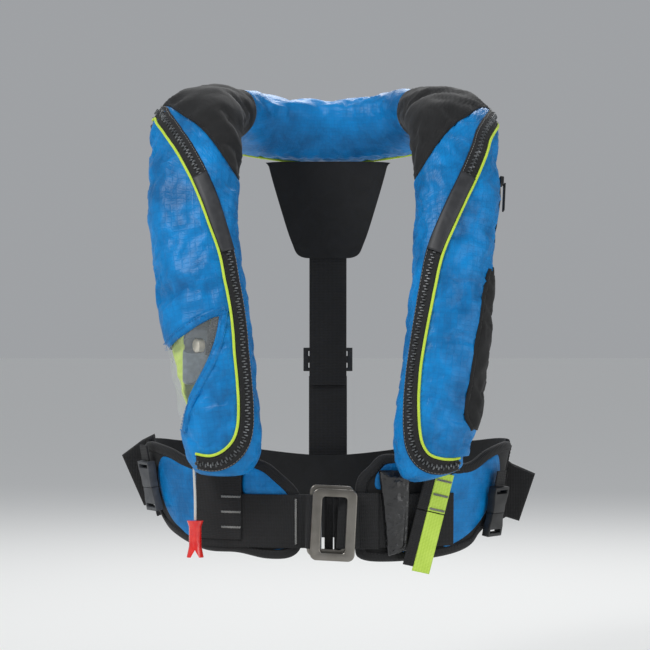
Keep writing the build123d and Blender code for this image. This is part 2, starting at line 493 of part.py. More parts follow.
def side_buckle(side, at):
    """A side-release buckle that hangs from a webbing loop: the housing, the prong piece and its loop."""
    x, z = at
    half_width, half_depth = trunk_axes(z)
    y = -(half_depth + SIDE_BUCKLE_OFF) * math.sqrt(1 - (x / (half_width + SIDE_BUCKLE_OFF)) ** 2)
    normal = trunk_normal(x, y, z)
    across = Vector(0, 0, 1).cross(normal).normalized()
    place = Plane(origin=(x, y, z), x_dir=across, z_dir=normal)

    def mirrored(points):
        return make_face(Polyline(*points, *[(-px, py) for px, py in reversed(points)], close=True))

    housing = extrude(mirrored([(12.5, 25), (12.5, 17), (10.5, 8), (10.5, 0)]), 4.0, both=True)
    housing -= Pos(0, 6.5, 0) * Box(17.4, 17.0, 5.0)
    housing -= Pos(0, 20.5, 0) * Box(20.0, 3.6, 9.0)
    prongs = extrude(mirrored([(10.5, -0.4), (10.5, -6), (12.5, -13), (12.5, -23)]), 3.6, both=True)
    prongs -= Pos(0, -18.0, 0) * Box(20.0, 3.6, 9.0)
    for x_prong in (-6.2, 0.0, 6.2):
        prongs += Pos(x_prong, 5.6, 0) * Box(3.0, 12.4, 3.6)
    return {f"{side}_side_buckle_housing": place * housing,
            f"{side}_side_buckle_prongs": place * prongs,
            f"{side}_buckle_hanger": place * (Pos(0, 33.0, 0.0) * Box(18.5, 15.0, 1.8))}


def stowed_straps():
    """The crotch straps, folded up and stowed at the wearer's sides."""
    nodes = {}
    for side, outline in (("right", RIGHT_STOWED), ("left", LEFT_STOWED)):
        block = extrude(front_plane(STOWED_FAR) * polygon(outline), STOWED_FAR - STOWED_NEAR)
        block -= trunk_solid(BELT_OUT + 0.4)
        nodes[f"{side}_stowed_strap"] = block.solids().sort_by(SortBy.VOLUME)[-1]
    return nodes


def pouch_and_handle():
    """The stowage pouch and the lime tow handle, a loop of webbing that hangs from its sewn upper half."""
    pouch = trunk_layer(BELT_OUT + 0.3, BELT_OUT + 0.3 + POUCH_THICK) & front_prism(polygon(POUCH), -30)
    place = strap_plane(*HANDLE_HINGE, HANDLE_OFF, HANDLE_LEAN)
    half = HANDLE_WIDTH / 2
    sewn_from = KNUCKLE_RADIUS + KNUCKLE_GAP

    def flat(x0, x1, y0, y1, thick=WEBBING_THICK):
        return place * (Pos((x0 + x1) / 2, (y0 + y1) / 2, 0) * Box(x1 - x0, y1 - y0, thick))

    def hinged(x0, x1, y0):
        strap = Pos((x0 + x1) / 2, (y0 + KNUCKLE_RADIUS) / 2, 0) * Box(x1 - x0, KNUCKLE_RADIUS - y0, WEBBING_THICK)
        rims = strap.edges().filter_by(Axis.X).group_by(Axis.Y)[-1]
        return place * fillet(rims, 0.99 * KNUCKLE_RADIUS)

    lining_left = -half - LINING_WIDTH
    tacks = [place * (Pos(0, y, WEBBING_THICK / 2 + 0.4) * Box(HANDLE_WIDTH * 0.8, 1.8, 0.8)) for y in (4, 18, 32)]
    return {"stowage_pouch": pouch.solids().sort_by(SortBy.VOLUME)[-1],
            "tow_handle_anchor": flat(-half, half, sewn_from, HANDLE_RISE),
            "handle_lining_anchor": flat(lining_left, -half - 0.2, sewn_from, HANDLE_RISE),
            "tow_handle_loop": hinged(-half, half, -HANDLE_DROP),
            "tow_handle_lining": hinged(lining_left, -half, -HANDLE_DROP + 4),
            "handle_tacks": tacks}


def upper_trunk_layer(inner, outer):
    """The sleeve between two offsets from the wearer's upper back, above the chest line."""
    def solid(off):
        rims = [Pos(0, 0, CHEST_Z) * Ellipse(CHEST_HALF_WIDTH + off, CHEST_HALF_DEPTH + off),
                Pos(0, 0, NECK_Z) * Ellipse(NECK_HALF_WIDTH + off, NECK_HALF_DEPTH + off)]
        return loft(rims, ruled=True)
    return solid(outer) - solid(inner)


def back_harness():
    """The band and belt round the back, the yoke under the collar, the strap between them and its adjuster."""
    def behind(outline):
        return extrude(Plane(origin=(0, 0, 0), x_dir=(-1, 0, 0), z_dir=(0, 1, 0)) * polygon(outline), 210)

    band = trunk_layer(PAD_CLEAR, PAD_OUT) & (Pos(0, 0.6, 0) * behind(BACK_BAND))
    belt_rect = [(-210, BELT_BOTTOM + 22), (210, BELT_BOTTOM + 22), (210, BELT_TOP + 18), (-210, BELT_TOP + 18)]
    belt = trunk_layer(BELT_IN, BELT_OUT) & (Pos(0, 0.6, 0) * behind(belt_rect))
    yoke = upper_trunk_layer(1.0, 5.0) & behind(YOKE)
    upper = upper_trunk_layer(5.2, 7.2) & behind([(-BACK_STRAP_HALF, CHEST_Z + 1), (BACK_STRAP_HALF, CHEST_Z + 1),
                                                  (BACK_STRAP_HALF, -60), (-BACK_STRAP_HALF, -60)])
    lower = trunk_layer(BELT_OUT + 0.3, BELT_OUT + 0.3 + WEBBING_THICK) & behind(
        [(-BACK_STRAP_HALF, BELT_BOTTOM + 16), (BACK_STRAP_HALF, BELT_BOTTOM + 16),
         (BACK_STRAP_HALF, CHEST_Z - 2), (-BACK_STRAP_HALF, CHEST_Z - 2)])
    y_slide = NECK_HALF_DEPTH + 27.0
    plate = Pos(0, y_slide, ADJUSTER_Z) * Box(2 * BACK_STRAP_HALF + 12, 3.0, 24.0)
    for dz in (-6.0, 6.0):
        plate -= Pos(0, y_slide, ADJUSTER_Z + dz) * Box(2 * BACK_STRAP_HALF + 2, 4.0, 5.0)
    return {"back_band": band, "waist_belt_back": belt, "back_yoke": yoke, "back_strap_upper": upper,
            "back_strap_lower": lower, "back_strap_adjuster": plate}


def main():
    """Build every node and write it."""
    nodes = {}
    for part in (lobe_cover("right"), lobe_cover("left"), upper_covers(), bladder(), firing_head(), pull_handle(),
                 oral_gear(), sliders(), wing(RIGHT_WING, "right"), wing(LEFT_WING, "left"), belt_webbings(),
                 belt_buckle(), side_buckle("right", RIGHT_SIDE_BUCKLE), side_buckle("left", LEFT_SIDE_BUCKLE),
                 stowed_straps(), pouch_and_handle(), back_harness()):
        nodes.update(part)
    tacks = nodes.pop("belt_tacks") + nodes.pop("handle_tacks")
    nodes["bar_tacks"] = Compound(children=[solid for shape in tacks for solid in shape.solids()])
    os.makedirs("parts", exist_ok=True)
    for name, shape in nodes.items():
        export_step(shape, f"parts/{name}.step")


if __name__ == "__main__":
    main()
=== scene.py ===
"""Inflatable sailing life jacket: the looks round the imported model, in metres and in the model's own frame.

+X is the wearer's left, +Y is behind the wearer and +Z is up. The origin is the centre of the neck opening.
"""

import logging
import math
from dataclasses import dataclass, field
from enum import Enum
from typing import Callable, Sequence

import bmesh
import bpy
import numpy as np
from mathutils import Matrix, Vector
from mathutils.bvhtree import BVHTree


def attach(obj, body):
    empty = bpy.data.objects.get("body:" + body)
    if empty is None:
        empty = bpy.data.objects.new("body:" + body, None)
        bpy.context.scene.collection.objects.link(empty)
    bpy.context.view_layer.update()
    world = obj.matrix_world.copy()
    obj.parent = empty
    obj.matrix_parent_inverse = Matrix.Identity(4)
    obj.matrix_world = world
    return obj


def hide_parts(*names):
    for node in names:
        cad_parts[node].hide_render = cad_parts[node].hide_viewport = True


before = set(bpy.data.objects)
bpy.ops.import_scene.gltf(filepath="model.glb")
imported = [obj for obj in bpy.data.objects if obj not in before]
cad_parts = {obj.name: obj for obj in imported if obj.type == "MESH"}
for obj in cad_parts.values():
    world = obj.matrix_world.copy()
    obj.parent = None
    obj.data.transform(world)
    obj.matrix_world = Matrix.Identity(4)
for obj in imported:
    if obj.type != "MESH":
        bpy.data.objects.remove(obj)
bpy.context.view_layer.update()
MM = 0.001
log = logging.getLogger("life_jacket")
Point2 = tuple[float, float]


class Side(Enum):
    """A side of the jacket, by the wearer."""

    RIGHT = "right"
    LEFT = "left"

    @property
    def sign(self) -> float:
        """The side's direction along X."""
        return -1.0 if self is Side.RIGHT else 1.0


# ---- colour and materials ------------------------------------------------------------------------
def srgb(code: str) -> tuple[float, float, float, float]:
    """Turn an sRGB hex colour to linear.

    Args:
        code: Six hex digits.

    Returns:
        Linear red, green, blue and an alpha of one.
    """
    parts = [int(code[i:i + 2], 16) / 255 for i in (0, 2, 4)]
    linear = [c / 12.92 if c <= 0.04045 else ((c + 0.055) / 1.055) ** 2.4 for c in parts]
    return (*linear, 1.0)


def wave_scale(spacing: float) -> float:
    """The scale that makes a Wave Texture repeat every spacing metres."""
    return math.pi / 10 / spacing


class NodeBook:
    """One material's nodes while they are being put together."""

    def __init__(self, name: str) -> None:
        """Start a material of that name with its shader."""
        self.material = bpy.data.materials.new(name)
        self.material.use_nodes = True
        self.tree = self.material.node_tree
        self.shader = self.tree.nodes["Principled BSDF"]

    def add(self, kind: str, settings: dict | None = None, values: dict | None = None) -> bpy.types.Node:
        """Add a node.

        Args:
            kind: The node's type name.
            settings: Attributes to set.
            values: Inputs, each a number or colour to set or a socket to link from.

        Returns:
            The node.
        """
        node = self.tree.nodes.new(kind)
        for key, value in (settings or {}).items():
            setattr(node, key, value)
        self.fill(node, values or {})
        return node

    def fill(self, node: bpy.types.Node, values: dict) -> None:
        """Set or link a node's inputs."""
        for key, value in values.items():
            socket = node.inputs[key]
            if isinstance(value, bpy.types.NodeSocket):
                self.tree.links.new(value, socket)
            else:
                socket.default_value = value

    def ramp(self, factor: bpy.types.NodeSocket, low: str, high: str, start: float,
             end: float) -> bpy.types.NodeSocket:
        """A colour ramp between two hex colours, from start to end of the factor."""
        node = self.add("ShaderNodeValToRGB", values={"Fac": factor})
        node.color_ramp.elements[0].position, node.color_ramp.elements[1].position = start, end
        node.color_ramp.elements[0].color, node.color_ramp.elements[1].color = srgb(low), srgb(high)
        return node.outputs["Color"]

    def math(self, operation: str, first: object, second: object = 0.0) -> bpy.types.NodeSocket:
        """The result of a Math node."""
        return self.add("ShaderNodeMath", {"operation": operation}, {0: first, 1: second}).outputs[0]

    def bump(self, height: bpy.types.NodeSocket, distance: float, strength: float = 1.0) -> None:
        """Bend the shader's normal by a height, at a depth in metres."""
        node = self.add("ShaderNodeBump",
                        values={"Height": height, "Distance": distance, "Strength": strength})
        self.fill(self.shader, {"Normal": node.outputs["Normal"]})


@dataclass(frozen=True)
class Ripstop:
    """Coated ripstop nylon: a square grid of thicker threads, crinkled, with a soft satin sheen.

    The coating gives soft highlights on each crease. The real grid is about 2 mm; it is drawn coarse, at
    4.5 mm, so that it shows.
    """

    name: str
    lit: str
    deep: str
    grid: float = 4.5 * MM

    def build(self) -> bpy.types.Material:
        """Make the material."""
        book = NodeBook(self.name)
        cloth = book.add("ShaderNodeUVMap", {"uv_map": "cloth"}).outputs["UV"]
        place = book.add("ShaderNodeTexCoord").outputs["Object"]
        lines = [book.add("ShaderNodeTexWave", {"bands_direction": axis},
                          {"Vector": cloth, "Scale": wave_scale(self.grid)}).outputs["Fac"] for axis in "XY"]
        grid = book.math("POWER", book.math("MAXIMUM", *lines), 10.0)
        crease = book.add("ShaderNodeTexNoise", values={"Vector": place, "Scale": 62.0, "Detail": 4.0,
                                                        "Roughness": 0.55, "Distortion": 0.5}).outputs["Fac"]
        tone = book.add("ShaderNodeTexNoise",
                        values={"Vector": place, "Scale": 22.0, "Detail": 3.0}).outputs["Fac"]
        mixed = book.math("ADD", book.math("MULTIPLY", tone, 0.6), book.math("MULTIPLY", crease, 0.4))
        # painted light and shade: lit is the blue in light and deep the blue in shade; the colour is darkest
        # where the crease noise, which also bumps the cloth, is low, a painted shade in the creases, over a
        # random tone
        colour = book.ramp(mixed, self.deep, self.lit, 0.38, 0.62)
        shaded = book.add("ShaderNodeMixRGB", {"blend_type": "MULTIPLY"},
                          {"Fac": book.math("MULTIPLY", grid, 0.12), "Color1": colour,
                           "Color2": srgb("5c93b8")})
        height = book.math("ADD", book.math("MULTIPLY", crease, 1.0), book.math("MULTIPLY", grid, 0.06))
        book.bump(height, 2.0 * MM, 0.8)
        book.fill(book.shader, {"Base Color": shaded.outputs[0], "Roughness": 0.42, "Sheen Weight": 0.03,
                                "Sheen Roughness": 0.4, "Specular IOR Level": 0.3})
        return book.material


@dataclass(frozen=True)
class Weave:
    """Woven polyester webbing or tape: ribs across the strap, finer ones along it.

    The weave leaves the surface matt and faintly ribbed. Real ribs are 0.5 to 1 mm, drawn coarser so that
    they show.
    """

    name: str
    lit: str
    deep: str
    rib: float = 1.6 * MM
    depth: float = 0.35 * MM
    sheen: float = 0.06

    def build(self) -> bpy.types.Material:
        """Make the material."""
        book = NodeBook(self.name)
        cloth = book.add("ShaderNodeUVMap", {"uv_map": "cloth"}).outputs["UV"]
        place = book.add("ShaderNodeTexCoord").outputs["Object"]
        across = book.add("ShaderNodeTexWave", {"bands_direction": "X"},
                          {"Vector": cloth, "Scale": wave_scale(self.rib), "Distortion": 0.6}).outputs["Fac"]
        along = book.add("ShaderNodeTexWave", {"bands_direction": "Y"},
                         {"Vector": cloth, "Scale": wave_scale(2.2 * self.rib)}).outputs["Fac"]
        tone = book.add("ShaderNodeTexNoise",
                        values={"Vector": place, "Scale": 60.0, "Detail": 4.0}).outputs["Fac"]
        weave = book.math("ADD", book.math("MULTIPLY", across, 0.7), book.math("MULTIPLY", along, 0.3))
        mixed = book.math("ADD", book.math("MULTIPLY", weave, 0.55), book.math("MULTIPLY", tone, 0.45))
        book.bump(weave, self.depth)
        # painted shade: lit is the colour in light and deep the colour in shade; the weave that bumps the
        # surface also darkens its grooves, a painted shade, over a random tone
        book.fill(book.shader, {"Base Color": book.ramp(mixed, self.deep, self.lit, 0.3, 0.75),
                                "Roughness": 0.8, "Sheen Weight": self.sheen, "Sheen Roughness": 0.5})
        return book.material


@dataclass(frozen=True)
class Plush:
    """Brushed neoprene or soft shell: a fine nap that swallows light; its folds show by their bump and by
    painted shade, the colour darker where the fold noise is low.
    """

    name: str
    lit: str
    deep: str
    nap: float = 0.6 * MM

    def build(self) -> bpy.types.Material:
        """Make the material."""
        book = NodeBook(self.name)
        place = book.add("ShaderNodeTexCoord").outputs["Object"]
        nap = book.add("ShaderNodeTexNoise",
                       values={"Vector": place, "Scale": 1 / self.nap, "Detail": 2.0}).outputs["Fac"]
        fold = book.add("ShaderNodeTexNoise", values={"Vector": place, "Scale": 55.0, "Detail": 4.0,
                                                      "Distortion": 0.7}).outputs["Fac"]
        mixed = book.math("ADD", book.math("MULTIPLY", nap, 0.35), book.math("MULTIPLY", fold, 0.65))
        height = book.math("ADD", fold, book.math("MULTIPLY", nap, 0.12))
        book.bump(height, 1.0 * MM, 0.6)
        # painted shade: lit is the black in light and deep the black in shade, darkest where the fold noise
        # that bumps the surface is low
        book.fill(book.shader, {"Base Color": book.ramp(mixed, self.deep, self.lit, 0.35, 0.7),
                                "Roughness": 0.85, "Sheen Weight": 0.08, "Sheen Roughness": 0.5})
        return book.material


@dataclass(frozen=True)
class Moulded:
    """Injection-moulded plastic: a fine spark-eroded grain, rubbed smoother here and there.

    The grain spreads each highlight, and is drawn at 0.5 mm, coarser than the real one, so that it shows.
    Some patches are painted lighter, a painted glint, and are a little rougher.
    """

    name: str
    colour: str
    painted_glint: str
    roughness: float = 0.45
    grain: float = 0.5 * MM
    coat: float = 0.0

    def build(self) -> bpy.types.Material:
        """Make the material."""
        book = NodeBook(self.name)
        place = book.add("ShaderNodeTexCoord").outputs["Object"]
        grain = book.add("ShaderNodeTexNoise",
                         values={"Vector": place, "Scale": 1 / self.grain, "Detail": 2.0}).outputs["Fac"]
        rub_and_glint = book.add("ShaderNodeTexNoise",
                       values={"Vector": place, "Scale": 140.0, "Detail": 5.0}).outputs["Fac"]
        book.bump(grain, 0.08 * MM, 0.5)
        rough = book.add("ShaderNodeMapRange", values={"Value": rub_and_glint, "To Min": self.roughness - 0.06,
                                                       "To Max": self.roughness + 0.1}).outputs["Result"]
        # the colour is painted lighter where this noise is high, a painted glint; the same noise makes those
        # patches rougher
        book.fill(book.shader, {"Base Color": book.ramp(rub_and_glint, self.colour, self.painted_glint, 0.45, 0.85),
                                "Roughness": rough, "Coat Weight": self.coat, "Coat Roughness": 0.12})
        return book.material


@dataclass(frozen=True)
class Metal:
    """Stainless or plated steel: bead-blasted, then brushed, so highlights run soft along the bar."""

    name: str
    colour: str
    dark: str
    roughness: float = 0.33

    def build(self) -> bpy.types.Material:
        """Make the material."""
        book = NodeBook(self.name)
        place = book.add("ShaderNodeTexCoord").outputs["Object"]
        stretched = book.add("ShaderNodeMapping",
                             values={"Vector": place, "Scale": (1.0, 1.0, 0.08)}).outputs[0]
        brush = book.add("ShaderNodeTexNoise",
                         values={"Vector": stretched, "Scale": 1600.0, "Detail": 3.0}).outputs["Fac"]
        stain = book.add("ShaderNodeTexNoise",
                         values={"Vector": place, "Scale": 35.0, "Detail": 4.0}).outputs["Fac"]
        rough = book.add("ShaderNodeMapRange", values={"Value": brush, "To Min": self.roughness - 0.08,
                                                       "To Max": self.roughness + 0.12}).outputs["Result"]
        book.bump(brush, 0.05 * MM, 0.4)
        book.fill(book.shader, {"Base Color": book.ramp(stain, self.dark, self.colour, 0.35, 0.6),
                                "Metallic": 1.0, "Roughness": rough})
        return book.material


@dataclass(frozen=True)
class ClearFilm:
    """Clear polyurethane film: thin, smooth and slightly wavy, so that it glints."""

    name: str = "polyurethane_film"

    def build(self) -> bpy.types.Material:
        """Make the material."""
        book = NodeBook(self.name)
        place = book.add("ShaderNodeTexCoord").outputs["Object"]
        wave = book.add("ShaderNodeTexNoise", values={"Vector": place, "Scale": 45.0, "Detail": 2.0,
                                                      "Distortion": 1.0}).outputs["Fac"]
        book.bump(wave, 1.2 * MM, 0.6)
        book.fill(book.shader, {"Base Color": srgb("e9f0f3"), "Roughness": 0.05, "IOR": 1.35, "Alpha": 0.07})
        return book.material


@dataclass(frozen=True)
class Vinyl:
    """Coated fabric with a wet gloss, crumpled by being folded away."""

    name: str
    colour: str
    painted_glint: str
    roughness: float = 0.22

    def build(self) -> bpy.types.Material:
        """Make the material."""
        book = NodeBook(self.name)
        place = book.add("ShaderNodeTexCoord").outputs["Object"]
        crumple = book.add("ShaderNodeTexVoronoi", {"feature": "SMOOTH_F1"},
                           {"Vector": place, "Scale": 110.0, "Smoothness": 0.6}).outputs["Distance"]
        noise = book.add("ShaderNodeTexNoise", values={"Vector": place, "Scale": 160.0, "Detail": 4.0,
                                                       "Distortion": 1.2}).outputs["Fac"]
        height = book.math("ADD", crumple, book.math("MULTIPLY", noise, 0.5))
        book.bump(height, 1.4 * MM, 0.8)
        # the colour is painted lighter where the noise that also raises the crumples is high: a painted
        # highlight on the ridges
        book.fill(book.shader, {"Base Color": book.ramp(noise, self.colour, self.painted_glint, 0.4, 0.8),
                                "Roughness": self.roughness, "Coat Weight": 0.4, "Coat Roughness": 0.15})
        return book.material


FINISHES = {
    # woven and brushed cloth: matt; each pair is the colour in light and in shade, with painted shade in the
    # folds and grooves
    "ripstop_blue": Ripstop("ripstop_nylon_blue", "0088d2", "00639f"),
    "softshell_black": Plush("brushed_neoprene", "161719", "09090a"),
    "lining_black": Plush("lining_fabric_black", "121314", "070708"),
    "webbing_black": Weave("polyester_webbing_black", "19191b", "070708"),
    "webbing_lime": Weave("polyester_webbing_lime", "d6f26c", "b7da45", rib=1.3 * MM, depth=0.22 * MM),
    "piping_lime": Weave("reflective_piping_lime", "dcf55a", "b5d22e", rib=0.9 * MM, depth=0.15 * MM),
    # coated cloth, satin rather than wet, as it is seen through the film; its raised crumples painted a paler
    # lime as painted highlights
    "bladder_lime": Vinyl("coated_bladder_fabric_lime", "b9d43a", "d5e86a", roughness=0.5),
    # twisted thread: a row of pale or dark dots; the grey is pale to show against black webbing
    "thread_grey": Weave("bar_tack_thread_grey", "b5b5b2", "6f6f6d", rib=0.5 * MM, depth=0.2 * MM),
    "thread_black": Weave("stitching_thread_black", "3a3b3d", "1a1a1b", rib=0.5 * MM, depth=0.1 * MM),
    "thread_blue": Weave("stitching_thread_blue", "2f9bd8", "0b5b98", rib=0.5 * MM, depth=0.1 * MM),
    "cord_white": Weave("braided_cord_white", "f4f3ee", "c9c8c2", rib=1.0 * MM, depth=0.2 * MM),
    "zip_black": Weave("zip_tape_black", "232325", "101011", rib=0.9 * MM, depth=0.15 * MM),
    # moulded plastics: small, soft-edged highlights
    # the zip teeth run from mid grey to a pale grey, the pale grey a painted glint
    "coil_black": Moulded("moulded_zip_teeth_grey", "4c4f52", "9a9da0", roughness=0.3),
    "label_grey": Moulded("moulded_tab_grey", "2a2b2e", "3b3c3f", roughness=0.5),
    "window_clear": ClearFilm(),        # smooth and thin: all but unseen, save for its glints
    # metals: warm grey, darker where the finish is worn
    "steel": Metal("stainless_steel_satin", "8f8b85", "7a766f", roughness=0.3),
    "gas_steel": Metal("zinc_plated_steel", "b9bcbe", "8b8e90", roughness=0.4),
    "plastic_black": Moulded("acetal_black", "141516", "2c2d2f"),
    "plastic_grey": Moulded("acetal_grey", "3c3e42", "54575b", roughness=0.5),
    "head_grey": Moulded("acetal_light_grey", "59636a", "87929a", roughness=0.3, coat=0.4),
    "plastic_beige": Moulded("abs_beige", "d8cdb6", "e9e2d2", roughness=0.3, coat=0.4),
    # gloss mouldings: a sharp highlight over a full colour
    "toggle_red": Moulded("polypropylene_red_gloss", "e01412", "f23a2c", roughness=0.2, coat=0.7),
    "whistle_orange": Moulded("abs_orange", "ef6a1a", "f58a40", roughness=0.3),
    # crumpled and glossy: broken highlights over black, the raised crumples painted a lighter grey as painted
    # highlights
    "pouch_black": Vinyl("polyurethane_coated_fabric_black", "0b0b0c", "26272a"),
    # glass-beaded tape: pale grey and matt from the side
    "reflective_grey": Weave("reflective_tape", "c9cdd0", "9a9ea2", rib=0.7 * MM, depth=0.08 * MM),
}


class Paint:
    """Builds each finish once and puts it on pieces."""

    def __init__(self) -> None:
        """Start with no material built."""
        self.built: dict[str, bpy.types.Material] = {}

    def put(self, piece: bpy.types.Object, finish: str) -> None:
        """Give a piece one finish all over."""
        if finish not in self.built:
            self.built[finish] = FINISHES[finish].build()
        piece.data.materials.clear()
        piece.data.materials.append(self.built[finish])


PAINT = Paint()


# ---- mesh helpers --------------------------------------------------------------------------------
def grid_faces(rows: int, columns: int, closed: bool = False) -> list[tuple[int, ...]]:
    """The quads of a grid of points.

    Args:
        rows: Points along the first direction.
        columns: Points along the second direction.
        closed: Whether the second direction closes on itself.

    Returns:
        Four indices for each quad.
    """
    last = columns if closed else columns - 1
    return [(r * columns + c, r * columns + (c + 1) % columns, (r + 1) * columns + (c + 1) % columns,
             (r + 1) * columns + c) for r in range(rows - 1) for c in range(last)]


def make_piece(name: str, points: np.ndarray, faces: Sequence[Sequence[int]], finish: str,
               cloth: np.ndarray | None = None, smooth: bool = True) -> bpy.types.Object:
    """Make a mesh piece in the model's frame.

    Args:
        name: The piece's name.
        points: Its points in metres, one row each.
        faces: Indices of each face's corners.
        finish: A key of FINISHES.
        cloth: Each point's place on the flat cloth in metres, for the weave.
        smooth: Whether its faces are shaded smooth.

    Returns:
        The object, linked into the scene.
    """
    mesh = bpy.data.meshes.new(name)
    mesh.from_pydata([tuple(p) for p in points], [], [tuple(int(i) for i in f) for f in faces])
    layer = mesh.uv_layers.new(name="cloth")
    if cloth is not None:
        corner_points = np.empty(len(mesh.loops), dtype=np.int32)
        mesh.loops.foreach_get("vertex_index", corner_points)
        layer.data.foreach_set("uv", np.asarray(cloth, dtype=np.float32)[corner_points].ravel())
    mesh.polygons.foreach_set("use_smooth", [smooth] * len(mesh.polygons))
    mesh.update()
    piece = bpy.data.objects.new(name, mesh)
    bpy.context.scene.collection.objects.link(piece)
    PAINT.put(piece, finish)
    return piece


def apply_modifier(piece: bpy.types.Object, kind: str, **settings: object) -> bpy.types.Object:
    """Add one modifier to a piece and apply it."""
    bpy.ops.object.select_all(action="DESELECT")
    bpy.context.view_layer.objects.active = piece
    piece.select_set(True)
    modifier = piece.modifiers.new(kind.lower(), kind)
    for key, value in settings.items():
        setattr(modifier, key, value)
    bpy.ops.object.modifier_apply(modifier=modifier.name)
    piece.select_set(False)
    return piece


def thicken(piece: bpy.types.Object, thickness: float, offset: float = 1.0) -> bpy.types.Object:
    """Give a sheet a wall, by default out along its normals."""
    return apply_modifier(piece, "SOLIDIFY", thickness=thickness, offset=offset, use_even_offset=False)


def smooth_path(points: Sequence[Sequence[float]], count: int) -> np.ndarray:
    """Points evenly spaced along a Catmull-Rom curve through some points.

    Args:
        points: The points that the curve goes through.
        count: How many points to return.

    Returns:
        One row for each point.
    """
    rows = np.asarray(points, dtype=float)
    dense = curve_at(rows, np.linspace(0, len(rows) - 1, 40 * len(rows)))
    reach = np.concatenate([[0], np.cumsum(np.linalg.norm(np.diff(dense, axis=0), axis=1))])
    places = np.linspace(0, reach[-1], count)
    return np.stack([np.interp(places, reach, dense[:, k]) for k in range(dense.shape[1])], axis=1)


def curve_at(rows: np.ndarray, places: np.ndarray) -> np.ndarray:
    """A Catmull-Rom curve's values at places counted in rows."""
    padded = np.concatenate([[2 * rows[0] - rows[1]], rows, [2 * rows[-1] - rows[-2]]])
    index = np.clip(places.astype(int), 0, len(rows) - 2)
    t = (places - index)[:, None]
    a, b, c, d = (padded[index + k] for k in range(4))
    return 0.5 * (2 * b + (c - a) * t + (2 * a - 5 * b + 4 * c - d) * t ** 2
                  + (3 * b - a - 3 * c + d) * t ** 3)


def unit_rows(rows: np.ndarray) -> np.ndarray:
    """Each row at length one."""
    return rows / np.maximum(np.linalg.norm(rows, axis=-1, keepdims=True), 1e-12)


def inside(outline: Sequence[Point2], x: np.ndarray, z: np.ndarray) -> np.ndarray:
    """Whether each (x, z) point is inside an outline."""
    result = np.zeros(x.shape, dtype=bool)
    corners = list(outline)
    for (x0, z0), (x1, z1) in zip(corners, corners[1:] + corners[:1]):
        crosses = (z0 > z) != (z1 > z)
        with np.errstate(divide="ignore", invalid="ignore"):
            at = (x1 - x0) * (z - z0) / (z1 - z0) + x0
        result ^= crosses & (x < at)
    return result


def ripple(points: np.ndarray, size: float, seed: int) -> np.ndarray:
    """Smooth seeded waves over points, about a given size across, from -1 to 1."""
    random = np.random.default_rng(seed)
    total = np.zeros(len(points))
    for _ in range(14):
        direction = random.normal(size=3)
        direction /= np.linalg.norm(direction)
        total += np.sin(points @ direction * (2 * math.pi / size) * random.uniform(0.6, 1.5)
                        + random.uniform(0, 6.3))
    return total / 5.3


# ---- the folded stole ----------------------------------------------------------------------------
Station = tuple[float, float, float, float, float, tuple[float, float, float]]
CHEST, RIBS, COLLAR_BONE = (0.30, -0.95, 0.03), (0.30, -0.93, 0.20), (0.30, -0.87, 0.38)
SHOULDER_FRONT, SHOULDER_TOP = (0.28, -0.70, 0.66), (0.21, -0.38, 0.90)
RIGHT_STATIONS: list[Station] = [
    (-98.0, -127.0, -314.0, 27.0, 15.0, CHEST), (-98.0, -127.0, -301.0, 33.5, 21.0, CHEST),
    (-98.5, -127.0, -277.0, 36.0, 24.0, CHEST), (-102.0, -126.5, -249.0, 37.5, 25.0, CHEST),
    (-109.5, -124.0, -203.0, 40.5, 25.5, CHEST), (-117.0, -117.5, -158.0, 42.0, 26.0, CHEST),
    (-123.5, -106.0, -110.0, 41.5, 26.0, RIBS), (-127.0, -92.0, -63.0, 43.0, 26.0, COLLAR_BONE),
    (-126.0, -70.0, -24.0, 44.0, 26.0, SHOULDER_FRONT), (-125.5, -38.0, 9.0, 44.5, 26.0, SHOULDER_TOP),
    (-119.5, 2.0, 23.0, 42.0, 26.0, (0.16, 0.0, 0.98)), (-101.0, 42.0, 24.0, 38.0, 25.0, (0.20, 0.32, 0.93)),
    (-66.0, 76.0, 21.0, 36.0, 23.5, (0.15, 0.62, 0.77))]
LEFT_STATIONS: list[Station] = [
    (99.0, -127.0, -316.0, 27.0, 15.0, CHEST), (95.5, -127.0, -302.0, 34.5, 21.0, CHEST),
    (98.0, -127.0, -276.0, 37.0, 24.0, CHEST), (104.0, -126.5, -247.0, 39.5, 25.0, CHEST),
    (110.0, -124.0, -203.0, 39.5, 25.5, CHEST), (114.0, -118.0, -158.0, 38.5, 26.0, CHEST),
    (116.5, -108.0, -110.0, 37.0, 26.0, RIBS), (121.0, -93.0, -63.0, 39.0, 26.0, COLLAR_BONE),
    (121.0, -70.0, -24.0, 42.0, 26.0, SHOULDER_FRONT), (120.0, -38.0, 8.0, 43.0, 26.0, SHOULDER_TOP),
    (115.0, 2.0, 22.0, 43.0, 26.0, (0.17, 0.0, 0.98)), (99.0, 42.0, 24.0, 38.0, 25.0, (0.20, 0.32, 0.93)),
    (65.0, 76.0, 21.0, 36.0, 23.5, (0.15, 0.62, 0.77))]
NAPE: Station = (0.0, 96.0, 16.0, 35.0, 22.5, (0.0, 0.75, 0.66))
HALF = 13.0                     # stations from a hem to the nape


